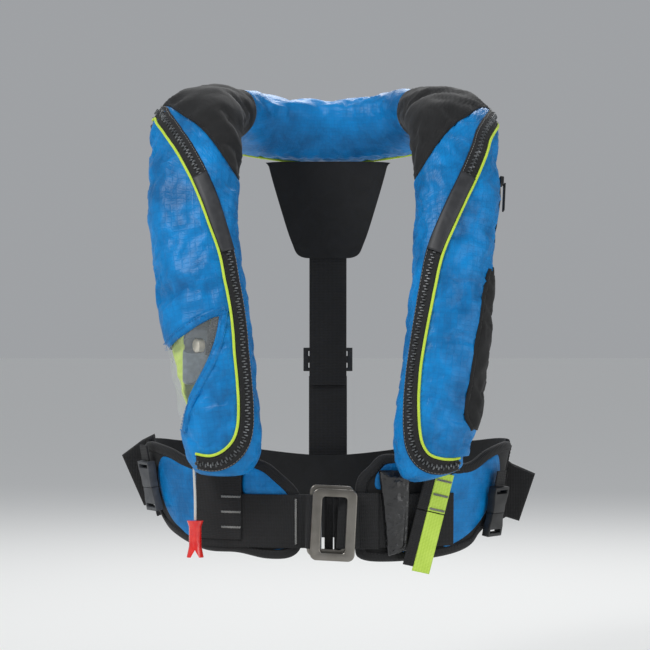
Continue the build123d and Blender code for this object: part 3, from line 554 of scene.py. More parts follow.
@dataclass
class StoleForm:
    """The smooth form of the folded stole.

    Stations run from the right hem (0) round the nape (13) to the left hem (26).
    """

    squareness: float = 2.35
    rows: np.ndarray = field(init=False)

    def __post_init__(self) -> None:
        """Lay the stations out as rows of numbers in metres."""
        right = [(*s[:5], -s[5][0], s[5][1], s[5][2]) for s in RIGHT_STATIONS]
        left = [(*s[:5], *s[5]) for s in LEFT_STATIONS[::-1]]
        self.rows = np.array(right + [(*NAPE[:5], *NAPE[5])] + left)
        self.rows[:, :5] *= MM

    def axes(self, along: np.ndarray) -> tuple[np.ndarray, np.ndarray, np.ndarray, np.ndarray]:
        """The form's middle line, its directions towards the neck and outwards, and its two half sizes.

        Args:
            along: Places along the stole, in stations.

        Returns:
            Middle points, inward directions, outward directions, and half width and thickness as columns.
        """
        values = curve_at(self.rows, along)
        step = 0.02
        ahead, behind = (curve_at(self.rows, np.clip(along + d, 0, len(self.rows) - 1))[:, :3]
                         for d in (step, -step))
        tangent = unit_rows(ahead - behind)
        out = values[:, 5:8] - (values[:, 5:8] * tangent).sum(axis=1, keepdims=True) * tangent
        out = unit_rows(out)
        return values[:, :3], np.cross(tangent, out), out, values[:, 3:5]

    def point(self, along: np.ndarray, turn: np.ndarray, grow: float = 0.0, scale: float = 1.0) -> np.ndarray:
        """Points on the form.

        Args:
            along: Places along the stole, in stations.
            turn: Angles round it in radians: 0 at the neck edge, a quarter turn at the front.
            grow: Metres added to both half sizes.
            scale: Factor on both half sizes.

        Returns:
            One row for each point.
        """
        middle, inward, out, half = self.axes(along)
        power = 2 / self.squareness
        across = np.sign(np.cos(turn)) * np.abs(np.cos(turn)) ** power
        thick = np.sign(np.sin(turn)) * np.abs(np.sin(turn)) ** power
        return (middle + inward * (across * (half[:, 0] * scale + grow))[:, None]
                + out * (thick * (half[:, 1] * scale + grow))[:, None])


class StoleMesh:
    """The stole's fabric as one closed grid, whose rows follow the seams between the covers."""

    SEAM, COLLAR = 8.6, 11.0                # where the lobe meets the shoulder panel, and that the collar
    SLANT, SLANT_REACH = 1.2, 2.4           # the first seam leans by this many stations, over this reach

    def __init__(self, form: StoleForm, columns: int = 76, spacing: float = 3.3 * MM) -> None:
        """Lay the grid on the form.

        Args:
            form: The smooth form.
            columns: Points round the stole.
            spacing: Metres between rows.
        """
        self.form, self.columns = form, columns
        stops = [0.0, self.SEAM, self.COLLAR, HALF]
        half = np.concatenate([np.linspace(a, b, int((b - a) * 0.042 / spacing) + 1)[:-1]
                               for a, b in zip(stops, stops[1:])] + [[HALF]])
        self.stations = np.concatenate([half, 2 * HALF - half[::-1][1:]])
        self.turns = np.linspace(0, 2 * math.pi, columns, endpoint=False)
        rows = len(self.stations)
        self.row_station = np.repeat(self.stations, columns)
        self.turn = np.tile(self.turns, rows)
        self.along = self.slanted(self.row_station, self.turn)
        self.points = form.point(self.along, self.turn)
        self.cloth = self.flat_places(rows)
        self.close_hems(rows)

    def slanted(self, station: np.ndarray, turn: np.ndarray) -> np.ndarray:
        """Where along the form a grid point lies, when its row leans like the seam on the shoulder."""
        mirrored = np.minimum(station, 2 * HALF - station)
        near = np.clip(1 - np.abs(mirrored - self.SEAM) / self.SLANT_REACH, 0, 1)
        lean = -self.SLANT * np.cos(turn) * near ** 2 * (3 - 2 * near)
        return station + np.where(station <= HALF, lean, -lean)

    def flat_places(self, rows: int) -> np.ndarray:
        """Each point's place on the flat cloth, in metres."""
        grid = self.points.reshape(rows, self.columns, 3)
        steps = np.linalg.norm(np.diff(grid, axis=0), axis=2).mean(axis=1)
        length = np.concatenate([[0], np.cumsum(steps)])
        return np.stack([np.repeat(length, self.columns), self.turn * 0.034], axis=1)

    def close_hems(self, rows: int) -> None:
        """Add a rounded end at each hem, and the faces of the whole mesh."""
        self.faces = grid_faces(rows, self.columns, closed=True)
        points, cloth, along, station = [self.points], [self.cloth], [self.along], [self.row_station]
        turn = [self.turn]
        total = len(self.points)
        for end, first, way in ((0.0, 0, 1), (2 * HALF, (rows - 1) * self.columns, -1)):
            previous = first
            middle = self.form.axes(np.array([end]))[0][0]
            base = self.points[first:first + self.columns]
            for scale, drop in ((0.93, 2.2), (0.76, 4.2), (0.5, 5.4), (0.2, 5.9)):
                ring = middle + (base - middle) * scale + np.array([0, 0, -drop * MM])
                points.append(ring)
                cloth.append(self.cloth[first:first + self.columns] - [way * drop * MM, 0])
                along.append(np.full(self.columns, end))
                station.append(np.full(self.columns, end))
                turn.append(self.turns)
                for c in range(self.columns):
                    quad = (previous + c, total + c, total + (c + 1) % self.columns,
                            previous + (c + 1) % self.columns)
                    self.faces.append(quad if way > 0 else quad[::-1])
                previous, total = total, total + self.columns
            cap = tuple(range(previous, previous + self.columns))
            self.faces.append(cap[::-1] if way > 0 else cap)
        self.faces = [face[::-1] for face in self.faces]
        self.points, self.cloth = np.concatenate(points), np.concatenate(cloth)
        self.along, self.row_station = np.concatenate(along), np.concatenate(station)
        self.turn = np.concatenate(turn)
        self.rest = self.points.copy()

    def settle(self, pinned: np.ndarray, slack: float, pressure: float, frames: int, cap: float) -> None:
        """Puff and wrinkle the fabric with the cloth solver, holding some points.

        Args:
            pinned: How firmly each point is held, from 0 to 1.
            slack: How much larger the cloth is than the form, as a share.
            pressure: The air pressure in it.
            frames: How long the cloth moves.
            cap: The furthest that a point may go, in metres.
        """
        mesh = bpy.data.meshes.new("settling")
        mesh.from_pydata([tuple(p) for p in self.points], [], self.faces)
        work = bpy.data.objects.new("settling", mesh)
        bpy.context.scene.collection.objects.link(work)
        group = work.vertex_groups.new(name="held")
        for level in np.unique(np.round(pinned, 2)):
            if level > 0:
                group.add([int(i) for i in np.nonzero(np.round(pinned, 2) == level)[0]], float(level),
                          "REPLACE")
        cloth = work.modifiers.new("cloth", "CLOTH").settings
        cloth.effector_weights.gravity = 0.0
        cloth.use_pressure, cloth.uniform_pressure_force = True, pressure
        cloth.quality, cloth.mass, cloth.tension_stiffness = 6, 0.2, 18.0
        cloth.compression_stiffness, cloth.bending_stiffness = 18.0, 0.25
        cloth.shrink_min = -slack
        cloth.vertex_group_mass = group.name
        cloth.pin_stiffness = 1.0
        scene = bpy.context.scene
        for number in range(1, frames + 1):
            scene.frame_set(number)
        solved = work.evaluated_get(bpy.context.evaluated_depsgraph_get()).to_mesh()
        moved = np.empty(len(solved.vertices) * 3)
        solved.vertices.foreach_get("co", moved)
        shift = moved.reshape(-1, 3) - self.points
        reach = np.linalg.norm(shift, axis=1, keepdims=True)
        self.points = self.points + shift * np.minimum(1, cap / np.maximum(reach, 1e-9))
        scene.frame_set(1)
        bpy.data.objects.remove(work)

    def part(self, name: str, chosen: np.ndarray, finish: str) -> bpy.types.Object:
        """Make a piece of some of the faces.

        Args:
            name: The piece's name.
            chosen: Whether each face is in it.
            finish: A key of FINISHES.

        Returns:
            The object.
        """
        faces = [self.faces[i] for i in np.nonzero(chosen)[0]]
        used = sorted({i for face in faces for i in face})
        new = {old: index for index, old in enumerate(used)}
        return make_piece(name, self.points[used], [[new[i] for i in face] for face in faces], finish,
                          self.cloth[used])


class Draper:
    """Lays tapes, cords and stitches on a piece's surface."""

    def __init__(self, points: np.ndarray, faces: Sequence[Sequence[int]]) -> None:
        """Keep the surface for ray casts."""
        self.tree = BVHTree.FromPolygons([tuple(p) for p in points], [tuple(f) for f in faces])

    def front(self, line: np.ndarray) -> tuple[np.ndarray, np.ndarray]:
        """Where points (x, z) in metres land on the surface, seen from the front.

        Args:
            line: One (x, z) row for each point.

        Returns:
            The places and the surface's outward directions there; a miss takes the nearest place.
        """
        places, normals = [], []
        for x, z in line:
            hit = self.tree.ray_cast(Vector((x, -0.3, z)), Vector((0, 1, 0)))
            if hit[0] is None:
                hit = self.tree.find_nearest(Vector((x, -0.09, z)))
            places.append(hit[0])
            normals.append(hit[1])
        return np.array(places), np.array(normals)

    def nearest(self, points: np.ndarray) -> tuple[np.ndarray, np.ndarray]:
        """The nearest places on the surface and its outward directions there."""
        hits = [self.tree.find_nearest(Vector(p)) for p in points]
        return np.array([h[0] for h in hits]), np.array([h[1] for h in hits])

    def tape(self, name: str, line: np.ndarray, offsets: Sequence[float], lifts: Sequence[float],
             thickness: float, finish: str) -> bpy.types.Object:
        """A tape along a line that lies on the surface.

        Args:
            name: The piece's name.
            line: Points on or near the surface, in metres.
            offsets: Distances to the left of the line of the tape's points across, in metres.
            lifts: How far each of them stands off the surface, in metres.
            thickness: The tape's thickness in metres.
            finish: A key of FINISHES.

        Returns:
            The tape.
        """
        places, normals = self.nearest(line)
        normals, places = blurred(normals, 2), averaged(places, 6)
        tangent = unit_rows(np.gradient(places, axis=0))
        side = unit_rows(np.cross(normals, tangent))
        length = np.concatenate([[0], np.cumsum(np.linalg.norm(np.diff(places, axis=0), axis=1))])
        rows, cloth = [], []
        for offset, lift in zip(offsets, lifts):
            near, out = self.nearest(places + side * offset)
            out = unit_rows(out + normals)
            rows.append(averaged(near, 4) + out * lift)
            cloth.append(np.stack([length, np.full(len(length), offset)], axis=1))
        points = np.stack(rows, axis=1).reshape(-1, 3)
        tape = make_piece(name, points, grid_faces(len(places), len(offsets)), finish,
                          np.stack(cloth, axis=1).reshape(-1, 2))
        return thicken(tape, thickness)

    def cord(self, name: str, line: np.ndarray, radius: float, lift: float, finish: str,
             sides: int = 8) -> bpy.types.Object:
        """A round cord along a line on the surface, such as piping."""
        places, normals = self.nearest(line)
        normals, places = blurred(normals, 2), averaged(places, 10)
        return tube(name, places + normals * lift, normals, radius, finish, sides)

    def stitches(self, name: str, line: np.ndarray, spacing: float, length: float, width: float, lift: float,
                 finish: str) -> bpy.types.Object:
        """A row of stitches along a line on the surface."""
        reach = np.linalg.norm(np.diff(line, axis=0), axis=1).sum()
        seats = smooth_path(line, max(int(reach / spacing), 3))
        places, normals = self.nearest(seats)
        tangent = unit_rows(np.gradient(places, axis=0))
        side = unit_rows(np.cross(normals, tangent))
        return dashes(name, places + normals * lift, tangent, side, normals, (length, width, width * 0.8),
                      finish)


def averaged(rows: np.ndarray, times: int) -> np.ndarray:
    """Rows averaged with their neighbours some times over; the first and last stay."""
    rows = rows.copy()
    for _ in range(times):
        rows[1:-1] = (rows[:-2] + 2 * rows[1:-1] + rows[2:]) / 4
    return rows


def blurred(rows: np.ndarray, times: int) -> np.ndarray:
    """Directions averaged with their neighbours, then at length one."""
    return unit_rows(averaged(rows, times * 3))


def tube(name: str, line: np.ndarray, up: np.ndarray, radius: float, finish: str,
         sides: int = 8) -> bpy.types.Object:
    """A round closed tube along points."""
    tangent = unit_rows(np.gradient(line, axis=0))
    side = unit_rows(np.cross(up, tangent))
    top = np.cross(tangent, side)
    angles = np.linspace(0, 2 * math.pi, sides, endpoint=False)
    rings = [line + side * (math.cos(a) * radius) + top * (math.sin(a) * radius) for a in angles]
    points = np.stack(rings, axis=1).reshape(-1, 3)
    length = np.concatenate([[0], np.cumsum(np.linalg.norm(np.diff(line, axis=0), axis=1))])
    cloth = np.stack([np.repeat(length, sides), np.tile(angles * radius, len(line))], axis=1)
    faces = grid_faces(len(line), sides, closed=True)
    last = (len(line) - 1) * sides
    faces += [tuple(range(sides))[::-1], tuple(range(last, last + sides))]
    return make_piece(name, points, faces, finish, cloth)


def dashes(name: str, centres: np.ndarray, along: np.ndarray, across: np.ndarray, up: np.ndarray,
           size: tuple[float, float, float], finish: str) -> bpy.types.Object:
    """Many small rounded bars in one piece, such as stitches or zip teeth.

    Args:
        name: The piece's name.
        centres: Their middles.
        along: Their long directions.
        across: Their directions across.
        up: Their directions off the surface.
        size: Length, width and height in metres.
        finish: A key of FINISHES.

    Returns:
        The piece.
    """
    corners = np.array([(sx, sy, sz) for sz in (-0.5, 0.5)
                        for sx, sy in ((-0.5, -0.35), (-0.35, -0.5), (0.35, -0.5), (0.5, -0.35), (0.5, 0.35),
                                       (0.35, 0.5), (-0.35, 0.5), (-0.5, 0.35))])
    corners[8:, :2] *= 0.72
    local = corners * np.array(size)
    points = (centres[:, None, :] + local[None, :, 0:1] * along[:, None, :]
              + local[None, :, 1:2] * across[:, None, :]
              + local[None, :, 2:3] * up[:, None, :]).reshape(-1, 3)
    shape = [tuple(range(8))[::-1], tuple(range(8, 16))]
    shape += [(i, (i + 1) % 8, (i + 1) % 8 + 8, i + 8) for i in range(8)]
    faces = [tuple(i + 16 * n for i in face) for n in range(len(centres)) for face in shape]
    cloth = np.tile(local[:, :2], (len(centres), 1))
    return make_piece(name, points, faces, finish, cloth, smooth=False)


# ---- lines on the covers, (x, z) in mm -----------------------------------------------------------
ZIP_FRONT: dict[Side, list[Point2]] = {
    Side.RIGHT: [(-121.0, -306.0), (-104.0, -307.5), (-91.0, -302.0), (-80.0, -290.0), (-75.0, -272.0),
                 (-75.4, -240.0), (-78.7, -205.0), (-82.0, -170.0), (-88.8, -134.0), (-93.0, -112.0),
                 (-100.7, -89.0), (-109.0, -65.0), (-119.4, -41.0), (-133.0, -16.0), (-146.0, 3.0)],
    Side.LEFT: [(120.0, -308.0), (104.0, -310.5), (90.0, -307.0), (80.0, -297.0), (75.5, -275.0),
                (75.5, -240.0), (79.5, -205.0), (85.5, -170.0), (92.5, -134.0), (97.5, -112.0),
                (107.0, -89.0), (118.0, -65.0), (130.0, -41.0), (141.0, -16.0), (148.0, 3.0)],
}
WINDOW = [(-95.8, -167.0), (-106.0, -169.5), (-118.0, -175.0), (-130.2, -182.8), (-141.5, -191.0),
          (-150.0, -199.5), (-175.0, -205.0), (-175.0, -282.0), (-132.7, -277.0), (-131.2, -270.6),
          (-126.8, -253.0), (-122.9, -244.8), (-116.8, -232.7), (-108.7, -217.8), (-103.0, -204.0),
          (-98.5, -189.2)]
WINDOW_HEM_TOP = [(-94.0, -166.5), (-106.0, -169.5), (-118.0, -175.0), (-130.2, -182.8), (-141.5, -191.0),
                  (-151.0, -200.5)]
WINDOW_HEM_BOTTOM = [(-95.0, -167.0), (-98.5, -189.2), (-103.0, -204.0), (-108.7, -217.8), (-116.8, -232.7),
                     (-126.8, -253.0), (-133.5, -278.0)]
SIDE_PANEL = [(150.0, -128.0), (144.5, -150.0), (141.0, -170.0), (137.5, -192.0), (134.0, -212.5),
              (130.0, -238.0), (126.5, -256.0), (126.0, -262.0), (129.0, -270.0), (133.0, -276.0),
              (185.0, -276.0), (185.0, -128.0)]


class Covers:
    """The stole's outer fabric with all that is sewn on it."""

    zip_half, chain_half, piping_radius = 8.0 * MM, 2.3 * MM, 1.35 * MM

    def __init__(self, form: StoleForm) -> None:
        """Settle the fabric and keep its surface for what is laid on it."""
        self.form = form
        self.mesh = StoleMesh(form)
        self.shape_fabric()
        self.draper = Draper(self.mesh.points, self.mesh.faces)

    def shape_fabric(self) -> None:
        """Wrinkle and puff the fabric between its seams."""
        mesh = self.mesh
        self.draper = Draper(mesh.points, mesh.faces)
        nearest = np.full(len(mesh.rest), 1.0)
        for side in Side:
            line = self.zip_line(side)
            gap = np.min(np.linalg.norm(mesh.rest[:, None, :] - line[None, ::2, :], axis=2), axis=1)
            nearest = np.minimum(nearest, gap)
        pinned = np.clip(2.0 - nearest / (9 * MM), 0, 1)
        back = np.clip(-np.sin(mesh.turn) * 1.6 - 0.4, 0, 1)
        pinned = np.maximum(pinned, back * 0.9)
        for seam in (mesh.SEAM, mesh.COLLAR):
            gap = np.abs(np.minimum(mesh.row_station, 2 * HALF - mesh.row_station) - seam)
            pinned = np.maximum(pinned, np.clip(1 - gap / 0.12, 0, 1))
        pinned = np.where(mesh.row_station * (2 * HALF - mesh.row_station) <= 0.6, 1.0, pinned)
        free = 1 - pinned
        normal = unit_rows(mesh.rest - self.form.axes(mesh.along)[0])
        folds = ripple(mesh.rest * [1.0, 1.0, 0.38], 26 * MM, 3) + 0.6 * ripple(mesh.rest, 15 * MM, 5)
        mesh.points = mesh.rest + normal * (folds * free * 1.1 * MM)[:, None]
        mesh.settle(pinned, slack=0.035, pressure=3.0, frames=14, cap=6 * MM)

    def face_values(self, values: np.ndarray) -> np.ndarray:
        """A value at each face, the mean of its corners."""
        return np.array([values[list(face)].mean() for face in self.mesh.faces])

    def build(self) -> list[bpy.types.Object]:
        """Make the covers and all that is sewn on them."""
        mesh = self.mesh
        station = self.face_values(mesh.row_station)
        mirrored = np.minimum(station, 2 * HALF - station)
        right = station < HALF
        x, z = self.face_values(mesh.rest[:, 0]), self.face_values(mesh.rest[:, 2])
        facing = self.face_values(np.sin(mesh.turn)) > -0.55
        lobe, collar = mirrored < mesh.SEAM, mirrored >= mesh.COLLAR
        shoulder = ~lobe & ~collar
        window = lobe & right & facing & inside([(px * MM, pz * MM) for px, pz in WINDOW], x, z)
        pieces = []
        for side, chosen in ((Side.RIGHT, right), (Side.LEFT, ~right)):
            name = f"{side.value}_lobe"
            cover = thicken(mesh.part(name, lobe & chosen & ~window, "ripstop_blue"), 1.2 * MM, -1.0)
            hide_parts(f"{side.value}_lobe_cover")
            panel = thicken(mesh.part(f"{side.value}_shoulder_panel", shoulder & chosen, "softshell_black"),
                            1.4 * MM, -0.2)
            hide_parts(f"{side.value}_shoulder_cover")
            pieces += [cover, panel]
        neck = thicken(mesh.part("collar", collar, "ripstop_blue"), 1.2 * MM, -1.0)
        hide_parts("collar_cover")
        film = thicken(mesh.part("inflation_film", window, "window_clear"), 0.5 * MM, -1.0)
        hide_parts("inflation_window")
        pieces += [neck, film]
        for side in Side:
            pieces += self.zip_pieces(side)
        pieces += self.window_hems() + self.side_panel() + self.shoulder_seams() + self.behind_window()
        pieces.append(self.pocket_zip())
        return pieces

    def zip_line(self, side: Side) -> np.ndarray:
        """The burst zip's line on the settled surface, from the hem over the shoulder to the nape."""
        line = smooth_path(ZIP_FRONT[side], 190) * MM
        front = self.draper.front(line)[0]
        stations = np.linspace(9.75, HALF, 60)
        turns = np.interp(stations, [9.75, 10.4, 11.2, HALF], [2.72, 2.95, 3.2, 3.3])
        along = stations if side is Side.RIGHT else 2 * HALF - stations
        back = self.draper.nearest(self.form.point(along, turns, grow=2 * MM))[0]
        return smooth_path(np.concatenate([front[::9], back[::6]]), 300)

    def zip_pieces(self, side: Side) -> list[bpy.types.Object]:
        """One side's burst zip tape, chain, piping and label tab."""
        line = self.zip_line(side)
        arm = 1.0 if side is Side.RIGHT else -1.0       # the piping lies on the arm side
        name = side.value
        half = self.zip_half
        tape = self.draper.tape(f"{name}_zip_tape", line, np.linspace(-half, half, 9), [1.0 * MM] * 9,
                                0.7 * MM, "zip_black")
        places, normals = self.draper.nearest(line)
        tangent = unit_rows(np.gradient(places, axis=0))
        across = unit_rows(np.cross(normals, tangent))
        piping = self.draper.cord(f"{name}_piping_cord", places + across * (arm * (half + 0.6 * MM)),
                                  self.piping_radius, 1.3 * MM, "piping_lime")
        teeth_line = smooth_path(line, int(np.linalg.norm(np.diff(line, axis=0), axis=1).sum() / (2.5 * MM)))
        places, normals = self.draper.nearest(teeth_line)
        tangent = unit_rows(np.gradient(places, axis=0))
        across = unit_rows(np.cross(normals, tangent))
        zigzag = np.where(np.arange(len(places)) % 2, 1.0, -1.0)[:, None] * 0.9 * MM
        chain = dashes(f"{name}_zip_chain", places + normals * 2.2 * MM + across * zigzag, across, tangent,
                       normals, (1.5 * self.chain_half, 1.3 * MM, 1.5 * MM), "coil_black")
        label_line = smooth_path(ZIP_FRONT[side][9:13], 40) * MM
        low = self.draper.front(label_line)[0]
        profile = [-half * 0.92, -half * 0.8, -half * 0.3, half * 0.3, half * 0.8, half * 0.92]
        rise = [2.4 * MM, 3.2 * MM, 3.5 * MM, 3.5 * MM, 3.2 * MM, 2.4 * MM]
        label = self.draper.tape(f"{name}_label_tab", low, profile, rise, 0.8 * MM, "label_grey")
        stitched = [self.draper.stitches(f"{name}_zip_stitches_{n}", places + across * (offset * MM),
                                         3.2 * MM, 2.2 * MM, 0.45 * MM, 1.9 * MM,
                                         "thread_grey" if offset * arm < 0 else "thread_black")
                    for n, offset in enumerate((-6.4, 6.0))]
        for piece, node in ((tape, "burst_zip_tape"), (chain, "burst_zip_chain"), (piping, "piping"),
                            (label, "zip_label_tab")):
            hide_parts(f"{name}_{node}")
        return [tape, piping, chain, label, *stitched]

    def window_hems(self) -> list[bpy.types.Object]:
        """The turned and stitched edges of the window."""
        pieces = []
        for name, line in (("top", WINDOW_HEM_TOP), ("bottom", WINDOW_HEM_BOTTOM)):
            path = self.draper.front(smooth_path(line, 60) * MM)[0]
            pieces.append(self.draper.tape(f"window_hem_{name}", path, np.linspace(-4.2, 4.2, 5) * MM,
                                           [0.3 * MM, 0.9 * MM, 1.0 * MM, 0.9 * MM, 0.3 * MM], 0.7 * MM,
                                           "ripstop_blue"))
            for n, offset in enumerate((-2.6, 2.6)):
                places, normals = self.draper.nearest(path)
                across = unit_rows(np.cross(normals, unit_rows(np.gradient(places, axis=0))))
                pieces.append(self.draper.stitches(f"window_hem_{name}_stitches_{n}",
                                                   places + across * (offset * MM), 3.0 * MM, 2.0 * MM,
                                                   0.55 * MM, 1.9 * MM, "thread_blue"))
        return pieces

    def behind_window(self) -> list[bpy.types.Object]:
        """The zip tape, reflective strips and gauge that show behind the window."""
        pieces = []
        for name, line, half, finish in (
                ("inner_zip_tape", [(-99.5, -168.0), (-104.0, -178.0), (-108.0, -192.0), (-109.0, -206.0)],
                 5.0, "zip_black"),
                ("reflective_strip_0", [(-97.5, -170.0), (-98.8, -178.0), (-99.8, -186.5)], 1.6,
                 "reflective_grey"),
                ("reflective_strip_1", [(-100.8, -191.0), (-102.2, -196.0), (-104.4, -201.0)], 1.5,
                 "reflective_grey")):
            path = self.draper.front(smooth_path(line, 30) * MM)[0]
            sunk = -6.5 * MM if finish == "zip_black" else -5.0 * MM
            pieces.append(self.draper.tape(name, path, np.linspace(-half, half, 5) * MM, [sunk] * 5, 0.8 * MM,
                                           finish))
        path = self.draper.front(smooth_path([(-101.0, -168.0), (-105.5, -180.0), (-109.0, -200.0)], 17)
                                 * MM)[0]
        teeth, normals = self.draper.nearest(path)
        tangent = unit_rows(np.gradient(teeth, axis=0))
        pieces.append(dashes("inner_zip_chain", teeth - normals * 5.0 * MM,
                             unit_rows(np.cross(normals, tangent)), tangent, normals,
                             (4.4 * MM, 1.2 * MM, 1.3 * MM), "zip_black"))
        return pieces

    def pocket_zip(self) -> bpy.types.Object:
        """The short zip of the pocket on the arm side of the left lobe."""
        line = smooth_path([(145.5, -97.6, -112.0), (143.5, -88.0, -70.0), (137.3, -71.5, -38.0)], 60) * MM
        line = self.draper.nearest(line + [0.03, 0.0, 0.0])[0]
        tape = self.draper.tape("pocket_tape", line, np.linspace(-5, 5, 6) * MM, [0.2 * MM] * 6, 0.8 * MM,
                                "zip_black")
        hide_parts("pocket_zip_tape")
        return tape

    def side_panel(self) -> list[bpy.types.Object]:
        """The black panel on the arm side of the left lobe."""
        mesh = self.mesh
        station = self.face_values(mesh.row_station)
        x, z = self.face_values(mesh.rest[:, 0]), self.face_values(mesh.rest[:, 2])
        facing = self.face_values(np.sin(mesh.turn)) > -0.92
        chosen = (station > 2 * HALF - mesh.SEAM) & facing
        chosen &= inside([(px * MM, pz * MM) for px, pz in SIDE_PANEL], x, z)
        panel = mesh.part("side_panel", chosen, "lining_black")
        thicken(panel, 1.0 * MM, 1.0)
        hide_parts("left_side_panel")
        edge = self.draper.front(smooth_path(SIDE_PANEL[:10], 80) * MM)[0]
        hem = self.draper.tape("side_panel_hem", edge, np.linspace(-2.5, 2.5, 4) * MM,
                               [0.5 * MM, 1.4 * MM, 1.4 * MM, 0.5 * MM], 0.6 * MM, "lining_black")
        return [panel, hem]

    def shoulder_seams(self) -> list[bpy.types.Object]:
        """Topstitching along the seams between the covers."""
        mesh = self.mesh
        pieces = []
        turns = np.linspace(0, 2 * math.pi, 90)
        for side in Side:
            for label, seam, shift in (("lower", mesh.SEAM, 0.08), ("upper", mesh.COLLAR, -0.08)):
                station = np.full(90, seam + shift)
                if side is Side.LEFT:
                    station = 2 * HALF - station
                line = self.form.point(mesh.slanted(station, turns), turns, grow=1 * MM)
                pieces.append(self.draper.stitches(f"{side.value}_{label}_seam_stitches", line, 3.4 * MM,
                                                   2.3 * MM, 0.6 * MM, 0.5 * MM, "thread_black"))
        return pieces


# ---- the trunk that the harness lies on ----------------------------------------------------------
def resampled(outline: Sequence[Point2], pitch: float) -> np.ndarray:
    """A closed outline with points added on its straight sides, so that none is longer than pitch."""
    corners = np.asarray(outline, dtype=float)
    rows = []
    for start, end in zip(corners, np.roll(corners, -1, axis=0)):
        count = max(int(np.ceil(np.linalg.norm(end - start) / pitch)), 1)
        rows += [start + (end - start) * k / count for k in range(count)]
    return np.array(rows)


def closed_curve(rows: Sequence[Point2], count: int) -> np.ndarray:
    """A closed Catmull-Rom curve through some points, evenly spaced."""
    points = np.asarray(rows, dtype=float)
    wrapped = np.concatenate([points[-2:], points, points[:3]])
    dense = curve_at(wrapped, np.linspace(2, len(points) + 2, 40 * len(points)))
    reach = np.concatenate([[0], np.cumsum(np.linalg.norm(np.diff(dense, axis=0), axis=1))])
    places = np.linspace(0, reach[-1], count, endpoint=False)
    return np.stack([np.interp(places, reach, dense[:, k]) for k in range(2)], axis=1)


def inset(outline: np.ndarray, by: float) -> np.ndarray:
    """A closed outline moved in by some distance, its corners mitred."""
    before, after = np.roll(outline, 1, axis=0), np.roll(outline, -1, axis=0)
    area = 0.5 * np.sum(outline[:, 0] * after[:, 1] - after[:, 0] * outline[:, 1])
    turn = np.array([-1.0, 1.0]) * (1 if area > 0 else -1)
    first, second = unit_rows(outline - before)[:, ::-1] * turn, unit_rows(after - outline)[:, ::-1] * turn
    middle = unit_rows(first + second)
    stretch = 1 / np.maximum((middle * second).sum(axis=1, keepdims=True), 0.5)
    return outline + middle * by * stretch


def edge_distance(points: np.ndarray, outline: np.ndarray) -> np.ndarray:
    """How far each point is from a closed outline."""
    result = np.full(len(points), 1e9)
    for start, end in zip(outline, np.roll(outline, -1, axis=0)):
        run = end - start
        share = np.clip(((points - start) @ run) / max(run @ run, 1e-12), 0, 1)
        result = np.minimum(result, np.linalg.norm(points - start - share[:, None] * run, axis=1))
    return result


def round_edge(distance: np.ndarray, reach: float) -> np.ndarray:
    """From 0 at an edge to 1 at some distance from it, along a quarter circle."""
    share = np.clip(distance / reach, 0, 1)
    return np.sqrt(1 - (1 - share) ** 2)


class Ground:
    """A surface that patches of cloth and webbing are laid out on; its flat coordinates are in mm."""

    def flat(self, outline: np.ndarray) -> np.ndarray:
        """Turn an outline of (x, z) to the surface's flat coordinates."""
        return outline

    def place(self, flat: np.ndarray, lift: np.ndarray) -> np.ndarray:
        """The points, in metres, that lie at flat places and some mm off the surface."""
        raise NotImplementedError

    def patch(self, name: str, outline: np.ndarray,
              lifts: Callable[[np.ndarray], tuple[np.ndarray, np.ndarray]], finish: str, pitch: float = 3.0,
              rims: Sequence[float] = (0.5, 1.2), along: int = 0) -> bpy.types.Object:
        """A closed pad, panel or strap with an outline.

        Args:
            name: The piece's name.
            outline: Its (x, z) outline in mm.
            lifts: Gives the back's and the front's lifts in mm from the distance to the edge.
            finish: A key of FINISHES.
            pitch: The size of its faces in mm.
            rims: How far in from its edge extra rows of faces lie.
            along: The direction that the webbing runs in: 0 across the wearer, 1 up.

        Returns:
            The piece.
        """
        edge = self.flat(outline)
        net = bmesh.new()
        rings = [[net.verts.new((*row, 0)) for row in inset(edge, by)] for by in (0.0, *rims)]
        for outer, inner in zip(rings, rings[1:]):
            for i in range(len(outer)):
                j = (i + 1) % len(outer)
                net.faces.new((outer[i], outer[j], inner[j], inner[i]))
        net.faces.new(rings[-1])
        for axis in (0, 1):
            for value in np.arange(edge[:, axis].min() + 0.37 * pitch, edge[:, axis].max(), pitch):
                at, normal = [0.0, 0.0, 0.0], [0.0, 0.0, 0.0]
                at[axis], normal[axis] = value, 1.0
                bmesh.ops.bisect_plane(net, geom=net.verts[:] + net.edges[:] + net.faces[:], plane_co=at,
                                       plane_no=normal, dist=1e-4)
        net.verts.index_update()
        flat = np.array([tuple(v.co)[:2] for v in net.verts])
        faces = [[v.index for v in face.verts] for face in net.faces]
        rim = [[v.index for v in e.verts] for e in net.edges if e.is_boundary]
        net.free()
        back, front = lifts(edge_distance(flat, edge))
        points = np.concatenate([self.place(flat, front), self.place(flat, back)])
        count = len(flat)
        faces += [[i + count for i in face[::-1]] for face in faces] + [[a, b, b + count, a + count]
                                                                        for a, b in rim]
        cloth = np.tile(flat if along == 0 else flat[:, ::-1], (2, 1)) * MM
        piece = make_piece(name, points, faces, finish, cloth)
        return outward(piece)

    def strap(self, name: str, outline: Sequence[Point2], inner: float, outer: float, finish: str,
              along: int = 0, wave: float = 0.0) -> bpy.types.Object:
        """Flat webbing with rounded selvedges and straight sides."""
        middle = (inner + outer) / 2

        def lifts(distance: np.ndarray) -> tuple[np.ndarray, np.ndarray]:
            half = (outer - inner) / 2 * (0.45 + 0.55 * round_edge(distance, 1.0))
            bend = wave * np.sin(distance * 0.4)
            return middle - half + bend, middle + half + bend

        return self.patch(name, resampled(outline, 8.0), lifts, finish, pitch=5.0, along=along)


